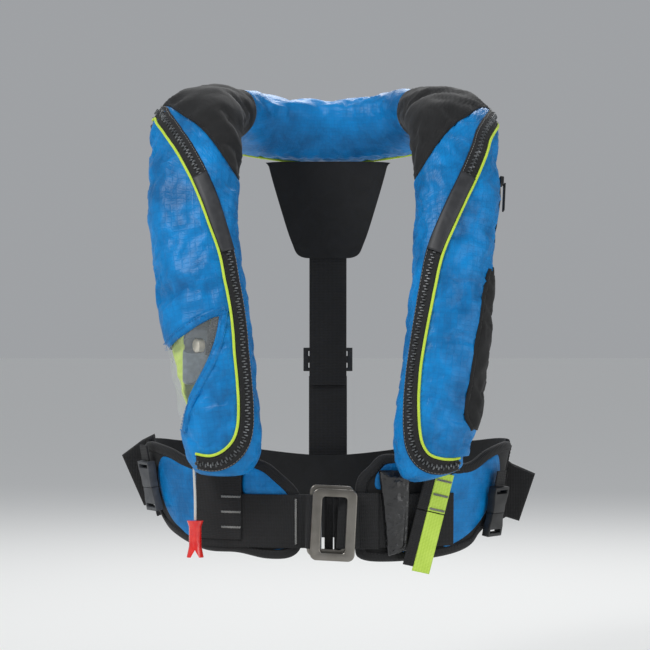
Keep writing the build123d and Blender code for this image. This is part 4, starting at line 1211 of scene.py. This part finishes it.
def outward(piece: bpy.types.Object) -> bpy.types.Object:
    """Turn a closed piece's faces outwards."""
    net = bmesh.new()
    net.from_mesh(piece.data)
    bmesh.ops.recalc_face_normals(net, faces=net.faces)
    net.to_mesh(piece.data)
    net.free()
    return piece


@dataclass
class Trunk(Ground):
    """The wearer's trunk: an ellipse in plan that tapers to the neck and to the waist; sizes in mm."""

    back: bool = False
    levels: tuple[float, ...] = (-430.0, -230.0, -5.0)
    half_widths: tuple[float, ...] = (143.7, 184.8, 180.0)
    half_depths: tuple[float, ...] = (96.4, 110.4, 92.0)
    radius: float = 150.0
    laid_at: float = 8.0

    def axes(self, z: np.ndarray) -> tuple[np.ndarray, np.ndarray]:
        """The trunk's half width and half depth at heights; below the lowest level and above the highest they
        hold their end values.
        """
        z = np.asarray(z, dtype=float)
        return np.interp(z, self.levels, self.half_widths), np.interp(z, self.levels, self.half_depths)

    def flat(self, outline: np.ndarray) -> np.ndarray:
        """Turn (x, z) to (girth, z), both in mm."""
        half_width = self.axes(outline[:, 1])[0] + self.laid_at
        turn = np.arcsin(np.clip(outline[:, 0] / half_width, -1.0, 1.0))
        return np.stack([turn * self.radius, outline[:, 1]], axis=1)

    def place(self, flat: np.ndarray, lift: np.ndarray) -> np.ndarray:
        """The points, in metres, at girths and heights and some mm off the trunk."""
        half_width, half_depth = self.axes(flat[:, 1])
        turn = flat[:, 0] / self.radius
        x, y = (half_width + lift) * np.sin(turn), -(half_depth + lift) * np.cos(turn)
        return np.stack([x, -y if self.back else y, flat[:, 1]], axis=1) * MM

    def at(self, x: float, z: float, lift: float) -> np.ndarray:
        """The point in metres at (x, z) and some mm off the trunk."""
        half_width, half_depth = (axis + lift for axis in self.axes(z))
        y = -half_depth * math.sqrt(1 - (x / half_width) ** 2)
        return np.array([x, -y if self.back else y, z]) * MM

    def normal(self, x: float, z: float, lift: float) -> np.ndarray:
        """The outward direction at (x, z) and some mm off the trunk."""
        across = self.at(x + 1, z, lift) - self.at(x - 1, z, lift)
        up = self.at(x, z + 1, lift) - self.at(x, z - 1, lift)
        return unit_rows(np.cross(across, up) * (-1 if self.back else 1))


@dataclass
class Board(Ground):
    """A flat ground with its own origin, across and up directions."""

    origin: np.ndarray
    across: np.ndarray
    up: np.ndarray
    bow: float = 0.0            # how much it bends back away from its middle, per mm squared

    @property
    def out(self) -> np.ndarray:
        """Its outward direction."""
        return np.cross(self.across, self.up)

    def place(self, flat: np.ndarray, lift: np.ndarray) -> np.ndarray:
        """The points, in metres, at flat places and some mm off it."""
        raised = lift - self.bow * flat[:, 0] ** 2
        return self.origin + (flat[:, :1] * self.across + flat[:, 1:] * self.up
                              + raised[:, None] * self.out) * MM


# ---- the harness ---------------------------------------------------------------------------------
WING: dict[Side, list[Point2]] = {
    Side.RIGHT: [(-179, -299), (-174, -293), (-153, -298), (-136, -306), (-111, -312), (-80, -305),
                 (-60, -309), (-45, -320), (-30, -335), (-26, -352), (-26, -383), (-36, -396), (-59, -398),
                 (-87, -393), (-118, -392), (-146, -381), (-159, -369), (-168, -350), (-174, -325)],
    Side.LEFT: [(180, -299), (175, -293), (156, -299), (136, -311), (108, -311), (75, -303), (52, -302),
                (40, -312), (29, -324), (26.5, -345), (26.5, -385), (32, -398), (60, -401), (107, -398),
                (135, -391), (146, -379), (159, -367), (168.5, -348), (174.5, -325)],
}
PANEL: dict[Side, list[list[Point2]]] = {
    Side.RIGHT: [[(-160, -306), (-146, -309), (-126, -316), (-122, -320), (-122, -383), (-143, -373),
                  (-154, -360), (-162, -340), (-165, -322)],
                 [(-78, -313), (-61, -316), (-49, -326), (-38, -337), (-40, -340), (-78, -340)],
                 [(-104, -385.5), (-90, -387), (-60, -390), (-38, -389), (-40, -392), (-60, -392.5),
                  (-88, -388.5), (-104, -388)]],
    Side.LEFT: [[(119, -318), (136, -318), (155, -308), (164, -304), (166, -324), (159, -345), (150, -362),
                 (138, -376), (122, -386), (110, -388), (114, -350)],
                [(46, -318), (56, -309), (66, -309), (68, -331), (46, -333)],
                [(58, -392), (90, -391), (110, -391), (112, -394), (88, -395), (58, -395)]],
}


class Harness:
    """The belt harness: padded wings, webbing, pouch, tow handle and the straps at the back."""

    belt_top, belt_bottom = -338.0, -388.0

    def __init__(self) -> None:
        """Lay out the trunk's front and back."""
        self.front, self.rear = Trunk(), Trunk(back=True)

    def build(self) -> dict[str, list[bpy.types.Object]]:
        """Make every piece.

        Returns:
            Pieces by the body that they ride on.
        """
        fixed = [piece for side in Side for piece in self.wing(side)]
        fixed += self.belts() + self.pouch() + self.back_straps() + self.side_bundles() + self.hangers()
        handle_fixed, handle_loose = self.tow_handle()
        return {"jacket": fixed + handle_fixed + self.tacks(), "handle": handle_loose}

    def wing(self, side: Side) -> list[bpy.types.Object]:
        """One padded wing with its blue panels, its binding and the stitching of the binding."""
        name = side.value
        outline = closed_curve(WING[side], 220)

        def pad_lifts(distance: np.ndarray) -> tuple[np.ndarray, np.ndarray]:
            return np.full(len(distance), 1.0), 2.6 + 3.6 * round_edge(distance, 7.0)

        pad = self.front.patch(f"{name}_wing_pad", outline, pad_lifts, "lining_black", rims=(1.0, 2.5, 5.0))
        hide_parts(f"{name}_belt_wing")
        pieces = [pad]
        for number, corners in enumerate(PANEL[side]):
            edge = closed_curve(corners, 110 if number == 0 else 60)

            def panel_lifts(distance: np.ndarray) -> tuple[np.ndarray, np.ndarray]:
                puff = round_edge(distance, 12.0)
                return np.full(len(distance), 4.5), 6.2 + 1.3 * puff + 0.25 * np.sin(distance * 0.9)

            panel = self.front.patch(f"{name}_wing_panel_{number}", edge, panel_lifts, "ripstop_blue",
                                     rims=(0.8, 2.0))
            pieces.append(panel)
        edge = self.front.flat(outline)
        columns = [(8.2, 6.0), (7.8, 6.9), (6.0, 7.3), (3.0, 7.2), (1.0, 6.4), (-0.5, 4.6), (-0.7, 2.6),
                   (0.4, 0.7), (3.0, 0.5)]
        points = np.stack([self.front.place(inset(edge, by), np.full(len(edge), lift))
                           for by, lift in columns],
                          axis=1).reshape(-1, 3)
        count, wide = len(edge), len(columns)
        faces = [[r * wide + c, r * wide + c + 1, (r + 1) % count * wide + c + 1, (r + 1) % count * wide + c]
                 for r in range(count) for c in range(wide - 1)]
        girth = np.linspace(0, 0.5, count)
        cloth = np.stack([np.repeat(girth, wide), np.tile([-by * MM for by, _ in columns], count)], axis=1)
        binding = thicken(make_piece(f"{name}_binding", points, faces, "webbing_black", cloth), 0.5 * MM, 0.0)
        outward(binding)
        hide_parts(f"{name}_wing_binding")
        seam = self.front.place(inset(edge, 6.6), np.full(count, 7.5))
        pieces += [binding, self.seam(f"{name}_binding_stitches", seam, "thread_black")]
        return pieces

    def seam(self, name: str, line: np.ndarray, finish: str, spacing: float = 3.2,
             length: float = 2.2) -> bpy.types.Object:
        """A row of stitches along a line of points in metres."""
        reach = np.linalg.norm(np.diff(line, axis=0), axis=1).sum()
        seats = smooth_path(line, int(reach / (spacing * MM)))
        tangent = unit_rows(np.gradient(seats, axis=0))
        out = unit_rows(seats * [1.0, 1.6, 0.0])
        across = unit_rows(np.cross(out, tangent))
        return dashes(name, seats, tangent, across, np.cross(tangent, across),
                      (length * MM, 0.6 * MM, 0.5 * MM), finish)

    def belts(self) -> list[bpy.types.Object]:
        """The belt's webbing, each end sewn back on itself round a buckle's bar, and the upright webbing."""
        pieces = []
        heights_up, steps = 13, 90          # points up the webbing and along it
        for side, start, turn_at, bar, along, deep in ((Side.RIGHT, -120.0, -21.0, (-14.1, -110.0), 6.0, 6.0),
                                                       (Side.LEFT, 118.0, 31.0, (18.0, -110.2), 8.5, 5.4)):
            rows = []
            for z in np.linspace(self.belt_bottom, self.belt_top, heights_up):
                lean = (z + 362.0) * math.sin(math.radians(3.0))
                flat_run = [self.front.at(x, z, 9.0)[:2] / MM for x in np.linspace(start, turn_at, 26)]
                centre = np.array([bar[0] + lean, bar[1]])
                sign = -side.sign
                loop = [centre + np.array([-sign * along * math.cos(a), -deep * math.sin(a)])
                        for a in np.radians(np.linspace(40, 310, 22))]
                tail = [self.front.at(x, z, 7.4)[:2] / MM
                        for x in np.linspace(turn_at + sign * 0.5, turn_at - sign * 14, 6)]
                path = np.array(flat_run + loop + tail)
                rows.append(smooth_path(path, steps))
            grid = np.array(rows)
            heights = np.repeat(np.linspace(self.belt_bottom, self.belt_top, heights_up), steps)
            points = np.column_stack([grid.reshape(-1, 2), heights]) * MM
            steps_long = np.linalg.norm(np.diff(grid[heights_up // 2], axis=0), axis=1)
            reach = np.concatenate([[0], np.cumsum(steps_long)])
            cloth = np.stack([np.tile(reach, heights_up), heights], axis=1) * MM
            belt = make_piece(f"{side.value}_belt", points, grid_faces(heights_up, steps), "webbing_black",
                              cloth)
            thicken(belt, 1.7 * MM, 0.0)
            apply_modifier(belt, "BEVEL", width=0.4 * MM, segments=2, limit_method="ANGLE", angle_limit=0.9)
            outward(belt)
            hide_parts(f"{side.value}_belt_webbing")
            pieces.append(belt)
        upright = self.front.strap("upright_webbing", [(-122, -286), (-80, -286), (-80, -381), (-122, -381)],
                                   10.3, 12.2, "webbing_black", along=1)
        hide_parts("right_anchor_webbing")
        left_upright = self.front.strap("left_upright_webbing",
                                        [(46, -336.5), (46, -389), (25.5, -389), (25.5, -336.5)][::-1], 10.1,
                                        11.6, "webbing_black")
        folds = []
        for number, (x0, x1, y) in enumerate(((-8.5, -6.2, -105.0), (-3.5, 4.5, -104.0),
                                              (5.5, 13.5, -103.5))):
            board = Board(np.array([0, y * MM, 0]), np.array([1.0, 0, 0]), np.array([0, 0, 1.0]))
            folds.append(board.strap(f"belt_fold_{number}", [(x0, -392), (x1, -392), (x1, -339), (x0, -339)],
                                     -1.6, 1.6, "webbing_black" if number else "reflective_grey", wave=0.25))
        return pieces + [upright, left_upright, *folds]

    def tacks(self) -> list[bpy.types.Object]:
        """The bar tacks: dense zigzag stitching in pale thread."""
        runs = [np.array([self.front.at(x, z, 12.9) for x in np.linspace(-100, -82.5, 24)])
                for z in (-340.6, -355.0, -369.4)]
        runs += [np.array([self.front.at(x, z, 10.9) for z in np.linspace(-384, -342.4, 54)])
                 for x in (-30.2, 37.0)]
        board = self.handle_board()
        for up in (4.0, 18.0, 32.0):
            flat = np.stack([np.linspace(-7.5, 7.5, 22), np.full(22, up)], axis=1)
            runs.append(board.place(flat, np.full(22, 2.0)))
        pieces = []
        for number, line in enumerate(runs):
            tangent = unit_rows(np.gradient(line, axis=0))
            out = unit_rows(line * [1.0, 1.6, 0.0])
            across = unit_rows(np.cross(out, tangent))
            lean = np.where(np.arange(len(line)) % 2, 0.35, -0.35)[:, None]
            bar = unit_rows(across + tangent * lean)
            pieces.append(dashes(f"bar_tack_{number}", line, bar, np.cross(bar, out), out,
                                 (2.3 * MM, 0.75 * MM, 0.6 * MM), "thread_grey"))
        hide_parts("bar_tacks")
        return pieces

    def handle_board(self) -> Board:
        """The flat ground of the tow handle, on its hinge line and leaning to the wearer's left."""
        origin, normal = self.front.at(100.3, -357.0, 15.0), self.front.normal(100.3, -357.0, 15.0)
        across = unit_rows(np.cross([0, 0, 1], normal))
        up = np.cross(normal, across)
        angle = math.radians(13.0)
        leaning = across * math.cos(angle) - up * math.sin(angle)
        return Board(origin, leaning, np.cross(normal, leaning))

    def tow_handle(self) -> tuple[list[bpy.types.Object], list[bpy.types.Object]]:
        """The lime tow handle with its black lining: the sewn half and the loose loop."""
        board = self.handle_board()

        def band(name: str, x0: float, x1: float, y0: float, y1: float, thick: float,
                 finish: str) -> bpy.types.Object:
            return board.strap(name, [(x0, y0), (x1, y0), (x1, y1), (x0, y1)], -thick / 2, thick / 2, finish,
                               along=1)

        sewn = band("tow_handle_sewn", -9.3, 9.3, 1.5, 39.0, 2.0, "webbing_lime")
        lining_sewn = band("handle_lining_sewn", -20.3, -9.5, 1.5, 39.0, 2.0, "webbing_black")
        loop = band("tow_handle", -9.3, 9.3, -56.5, 0.5, 2.0, "webbing_lime")
        lining = band("tow_handle_lining_strap", -20.3, -9.5, -52.5, 0.5, 2.0, "webbing_black")
        for piece, node in ((sewn, "tow_handle_anchor"), (lining_sewn, "handle_lining_anchor"),
                            (loop, "tow_handle_loop"), (lining, "tow_handle_lining")):
            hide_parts(node)
        return [sewn, lining_sewn], [loop, lining]

    def pouch(self) -> list[bpy.types.Object]:
        """The glossy stowage pouch, creased, and full at its middle."""
        outline = closed_curve([(46.7, -318), (49.5, -315.2), (71, -316), (74, -318.5), (73.6, -350),
                                (71.5, -388), (68.5, -391.5), (58, -395), (54, -392), (50.5, -355)], 150)

        def lifts(distance: np.ndarray) -> tuple[np.ndarray, np.ndarray]:
            puff, crumple = 4.2 * round_edge(distance, 9.0), 0.5 * np.sin(distance * 1.3)
            return np.full(len(distance), 10.3), 11.6 + puff + crumple

        pouch = self.front.patch("pouch", outline, lifts, "pouch_black", pitch=2.0, rims=(0.8, 2.0, 4.0))
        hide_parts("stowage_pouch")
        return [pouch]

    def back_straps(self) -> list[bpy.types.Object]:
        """The padded back band, the belt over it, the yoke, and the strap between them in two lengths."""
        rear = self.rear
        band_edge = [(-188, -292), (-150, -295), (-110, -300), (0, -312), (110, -300), (150, -295),
                     (188, -292), (189, -318), (186, -343), (150, -366), (110, -385), (55, -391), (0, -395),
                     (-55, -391), (-110, -385), (-150, -366), (-186, -343), (-189, -318)]

        def pad_lifts(distance: np.ndarray) -> tuple[np.ndarray, np.ndarray]:
            return np.full(len(distance), 1.0), 2.4 + 4.4 * round_edge(distance, 9.0)

        band = rear.patch("back_pad", closed_curve(band_edge, 260), pad_lifts, "softshell_black", pitch=5.0,
                          rims=(1.0, 2.5, 5.0))
        belt = rear.strap("belt_at_back", [(-188, -366), (188, -366), (188, -320), (-188, -320)], 8.0, 10.0,
                          "webbing_black")
        yoke_edge = [(-60, -16), (0, -15), (60, -16), (61, -22), (50, -60), (38, -96), (28, -111), (0, -112),
                     (-28, -111), (-38, -96), (-50, -60), (-61, -22)]

        def yoke_lifts(distance: np.ndarray) -> tuple[np.ndarray, np.ndarray]:
            return np.full(len(distance), 1.0), 2.4 + 2.4 * round_edge(distance, 6.0)

        yoke = rear.patch("yoke", closed_curve(yoke_edge, 160), yoke_lifts, "softshell_black",
                          rims=(1.0, 2.5))
        half = 19.0
        upper = rear.strap("upper_back_strap", [(-half, -241), (half, -241), (half, -60), (-half, -60)], 5.2,
                           7.2, "webbing_black", along=1)
        lower = rear.strap("lower_back_strap", [(-half, -372), (half, -372), (half, -232), (-half, -232)],
                           10.3, 12.3, "webbing_black", along=1)
        for piece, node in ((band, "back_band"), (belt, "waist_belt_back"), (yoke, "back_yoke"),
                            (upper, "back_strap_upper"), (lower, "back_strap_lower")):
            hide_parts(node)
        return [band, belt, yoke, upper, lower]

    def side_bundles(self) -> list[bpy.types.Object]:
        """The crotch straps folded up at the hips; the elastic keeper over each is not made."""
        outlines = {Side.RIGHT: [(-202, -307), (-182, -292), (-170, -286), (-166, -310), (-161, -355),
                                 (-180, -357)],
                    Side.LEFT: [(160, -298), (180, -315), (203, -325), (187, -372), (174, -368), (160, -376),
                                (154, -360)]}
        pieces = []
        for side, outline in outlines.items():
            middle = np.mean(outline, axis=0)
            layers = []
            for number in range(5):
                share = 1.0 - 0.03 * abs(number - 1.5)
                corners = [tuple(middle + (np.array(corner) - middle) * share) for corner in outline]
                board = Board(np.array([0, (6.0 + 6.2 * number) * MM, 0]), np.array([1.0, 0, 0]),
                              np.array([0, 0, 1.0]))
                layers.append(board.strap(f"{side.value}_strap_fold_{number}", corners, -2.3, 2.3,
                                          "webbing_black", along=0, wave=0.35))
            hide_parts(f"{side.value}_stowed_strap")
            pieces += layers
        return pieces

    def hangers(self) -> list[bpy.types.Object]:
        """The short webbing that each side-release buckle hangs on."""
        pieces = []
        for side, (x, z) in ((Side.RIGHT, (-170.5, -335.0)), (Side.LEFT, (160.0, -359.0))):
            normal = self.front.normal(x, z, 14.5)
            across = unit_rows(np.cross([0, 0, 1], normal))
            board = Board(self.front.at(x, z, 14.5), across, np.cross(normal, across))
            hanger = board.strap(f"{side.value}_hanger",
                                 [(-9.2, 25.6), (9.2, 25.6), (9.2, 40.4), (-9.2, 40.4)], -0.9, 0.9,
                                 "webbing_black", along=1)
            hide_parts(f"{side.value}_buckle_hanger")
            pieces.append(hanger)
        return pieces


@dataclass(frozen=True)
class HardPart:
    """A moulded or pressed part with its edges rounded, as they come from the tool."""

    node: str
    body: str
    finish: str
    edge: float = 0.5           # mm

    def build(self) -> bpy.types.Object:
        """Make the part from the model's shape with rounded edges."""
        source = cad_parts[self.node]
        bpy.ops.object.select_all(action="DESELECT")
        part = bpy.data.objects.new(f"{self.node}_finished", source.data.copy())
        bpy.context.scene.collection.objects.link(part)
        bpy.context.view_layer.objects.active = part
        part.select_set(True)
        bpy.ops.object.mode_set(mode="EDIT")
        bpy.ops.mesh.select_all(action="SELECT")
        bpy.ops.mesh.remove_doubles(threshold=0.01 * MM)
        bpy.ops.mesh.dissolve_limited(angle_limit=math.radians(1.0))
        bpy.ops.object.mode_set(mode="OBJECT")
        apply_modifier(part, "BEVEL", width=self.edge * MM, segments=3, limit_method="ANGLE",
                       angle_limit=math.radians(35), use_clamp_overlap=True)
        part.select_set(True)
        bpy.ops.object.shade_smooth_by_angle(angle=math.radians(40))
        part.select_set(False)
        PAINT.put(part, self.finish)
        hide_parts(self.node)
        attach(part, self.body)
        return part


HARD_PARTS = [
    HardPart("pull_toggle", "toggle", "toggle_red", 0.9),
    HardPart("buckle_front_frame", "front_frame", "steel", 0.35),
    HardPart("buckle_rear_frame", "rear_frame", "steel", 0.35),
    HardPart("right_side_buckle_housing", "jacket", "plastic_grey", 0.8),
    HardPart("right_side_buckle_prongs", "right_prongs", "plastic_grey", 0.6),
    HardPart("left_side_buckle_housing", "jacket", "plastic_black", 0.8),
    HardPart("left_side_buckle_prongs", "left_prongs", "plastic_black", 0.6),
    HardPart("back_strap_adjuster", "strap_adjuster", "plastic_black", 0.5),
    HardPart("whistle", "jacket", "whistle_orange", 0.4),
    HardPart("firing_lever", "lever", "plastic_black", 0.4),
]


class PullCord:
    """The cord that fires the gas, from inside the lobe down to the red handle."""

    route = ((-124.8, -118.0, -284.0), (-124.9, -118.1, -303.0), (-124.3, -118.2, -322.0),
             (-123.4, -118.0, -342.0), (-123.5, -118.0, -361.0))
    radius, length = 1.25 * MM, 77.0 * MM

    def build(self, handle: bpy.types.Object) -> bpy.types.Object:
        """Make the cord.

        Args:
            handle: The piece on its end; not used.

        Returns:
            The cord.
        """
        curve = bpy.data.curves.new("firing_cord", "CURVE")
        curve.dimensions = "3D"
        curve.bevel_depth, curve.bevel_resolution, curve.use_fill_caps = self.radius, 4, True
        spline = curve.splines.new("NURBS")
        spline.points.add(len(self.route) - 1)
        for point, place in zip(spline.points, self.route):
            point.co = (*(value * MM for value in place), 1.0)
        spline.order_u, spline.use_endpoint_u = 3, True
        spline.resolution_u = 12
        cord = bpy.data.objects.new("firing_cord", curve)
        bpy.context.scene.collection.objects.link(cord)
        PAINT.put(cord, "cord_white")
        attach(cord, "toggle")
        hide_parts("pull_cord")
        return cord


class Bladder:
    """The folded bladder inside the covers, pushed back behind the window by what it carries."""

    hem = 0.4                       # stations from the cover's hem
    lengths, rounds = 260, 48       # points along it and round it
    gap = 6.5 * MM                  # inside the covers
    window_depth = -0.117           # the furthest forward that it comes behind the window

    def build(self, form: StoleForm) -> bpy.types.Object:
        """Make the bladder."""
        rows = np.linspace(self.hem, 2 * HALF - self.hem, self.lengths)
        turns = np.linspace(0, 2 * math.pi, self.rounds, endpoint=False)
        along, turn = np.repeat(rows, self.rounds), np.tile(turns, len(rows))
        points = form.point(along, turn, grow=-self.gap)
        middle = form.axes(along)[0]
        points += unit_rows(points - middle) * (ripple(points, 18 * MM, 11) * 1.3 * MM)[:, None]
        x, z = points[:, 0] / MM, points[:, 2] / MM
        side = np.clip((x + 133) / 5, 0, 1) * np.clip((-88 - x) / 8, 0, 1)
        height = np.clip((z + 292) / 14, 0, 1) * np.clip((-150 - z) / 14, 0, 1)
        front = (np.sin(turn) > 0.0) & (along < HALF)
        depth = np.maximum(points[:, 1], self.window_depth)
        points[:, 1] = np.where(front, points[:, 1] + (depth - points[:, 1]) * side * height, points[:, 1])
        faces = [face[::-1] for face in grid_faces(len(rows), self.rounds, closed=True)]
        last = (len(rows) - 1) * self.rounds
        faces += [tuple(range(self.rounds)), tuple(range(last, last + self.rounds))[::-1]]
        cloth = np.stack([along * 0.035, turn * 0.03], axis=1)
        bag = outward(make_piece("folded_air_bag", points, faces, "bladder_lime", cloth))
        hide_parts("folded_bladder")
        return bag


# ---- stage ---------------------------------------------------------------------------------------
CAMERA_PLACE, LENS, SENSOR, FAR_CLIP = (-0.003, -2.54, -0.18), 144.5, 36.0, 30.0
FLOOR_SIZE, FLOOR_HEIGHT, FLOOR_GLOW = 60, -0.56, 0.12
SKY_STRENGTH = 0.5
LIT_POINT = Vector((0, 0, -0.18))
# name, place, side of the square, watts
LIGHTS = (("key", (-1.5, -1.7, 1.5), 0.9, 40.0), ("fill", (1.9, -1.5, 0.2), 1.4, 14.0),
          ("back", (0.3, 1.7, 1.4), 1.2, 26.0))


def set_stage() -> None:
    """The camera, soft lights, pale floor and plain surroundings."""
    scene = bpy.context.scene
    camera = bpy.data.objects.new("camera", bpy.data.cameras.new("camera"))
    camera.data.lens, camera.data.sensor_width = LENS, SENSOR
    camera.data.clip_end = FAR_CLIP
    camera.location = CAMERA_PLACE
    camera.rotation_euler = (math.pi / 2, 0, 0)
    scene.collection.objects.link(camera)
    scene.camera = camera
    bpy.ops.mesh.primitive_plane_add(size=FLOOR_SIZE, location=(0, 0, FLOOR_HEIGHT))
    floor = bpy.context.object
    floor.name = "floor"
    pale = NodeBook("pale_floor")
    pale.fill(pale.shader, {"Base Color": srgb("e6e6e4"), "Roughness": 0.9, "Emission Color": srgb("d9dce0"),
                            "Emission Strength": FLOOR_GLOW})
    floor.data.materials.append(pale.material)
    world = bpy.data.worlds.new("studio")
    world.use_nodes = True
    sky = world.node_tree.nodes["Background"].inputs
    sky["Color"].default_value, sky["Strength"].default_value = srgb("d9dce0"), SKY_STRENGTH
    scene.world = world
    for name, place, size, power in LIGHTS:
        light = bpy.data.objects.new(name, bpy.data.lights.new(name, "AREA"))
        light.data.energy, light.data.size = power, size
        light.location = place
        light.rotation_euler = (LIT_POINT - Vector(place)).to_track_quat("-Z", "Y").to_euler()
        scene.collection.objects.link(light)
    scene.view_settings.view_transform = "Standard"


NODE_FINISH = {
    "burst_zip_slider": "plastic_grey", "pocket_zip_slider": "plastic_black",
    "pocket_zip_pull": "plastic_black", "firing_head_body": "head_grey", "firing_head_cap": "plastic_beige",
    "gas_cylinder": "gas_steel", "bladder_inlet": "plastic_black", "cord_grommet": "plastic_black",
    "oral_tube": "plastic_black", "oral_tube_cap": "plastic_grey",
}


def main() -> None:
    """Build the jacket sub-assembly by sub-assembly."""
    logging.basicConfig(level=logging.INFO, format="%(name)s: %(message)s")
    set_stage()
    for node, finish in NODE_FINISH.items():
        PAINT.put(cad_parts[node], finish)
    finished = {hard.node: hard.build() for hard in HARD_PARTS}
    cord = PullCord().build(finished["pull_toggle"])
    form = StoleForm()
    pieces = {"jacket": Covers(form).build() + [Bladder().build(form)]}
    for body, made in Harness().build().items():
        pieces.setdefault(body, []).extend(made)
    for body, made in pieces.items():
        for piece in made:
            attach(piece, body)
            log.info("%s on %s: %d faces", piece.name, body, len(piece.data.polygons))
    log.info("%s: %.0f mm", cord.name, PullCord.length / MM)


if __name__ == "__main__":
    main()
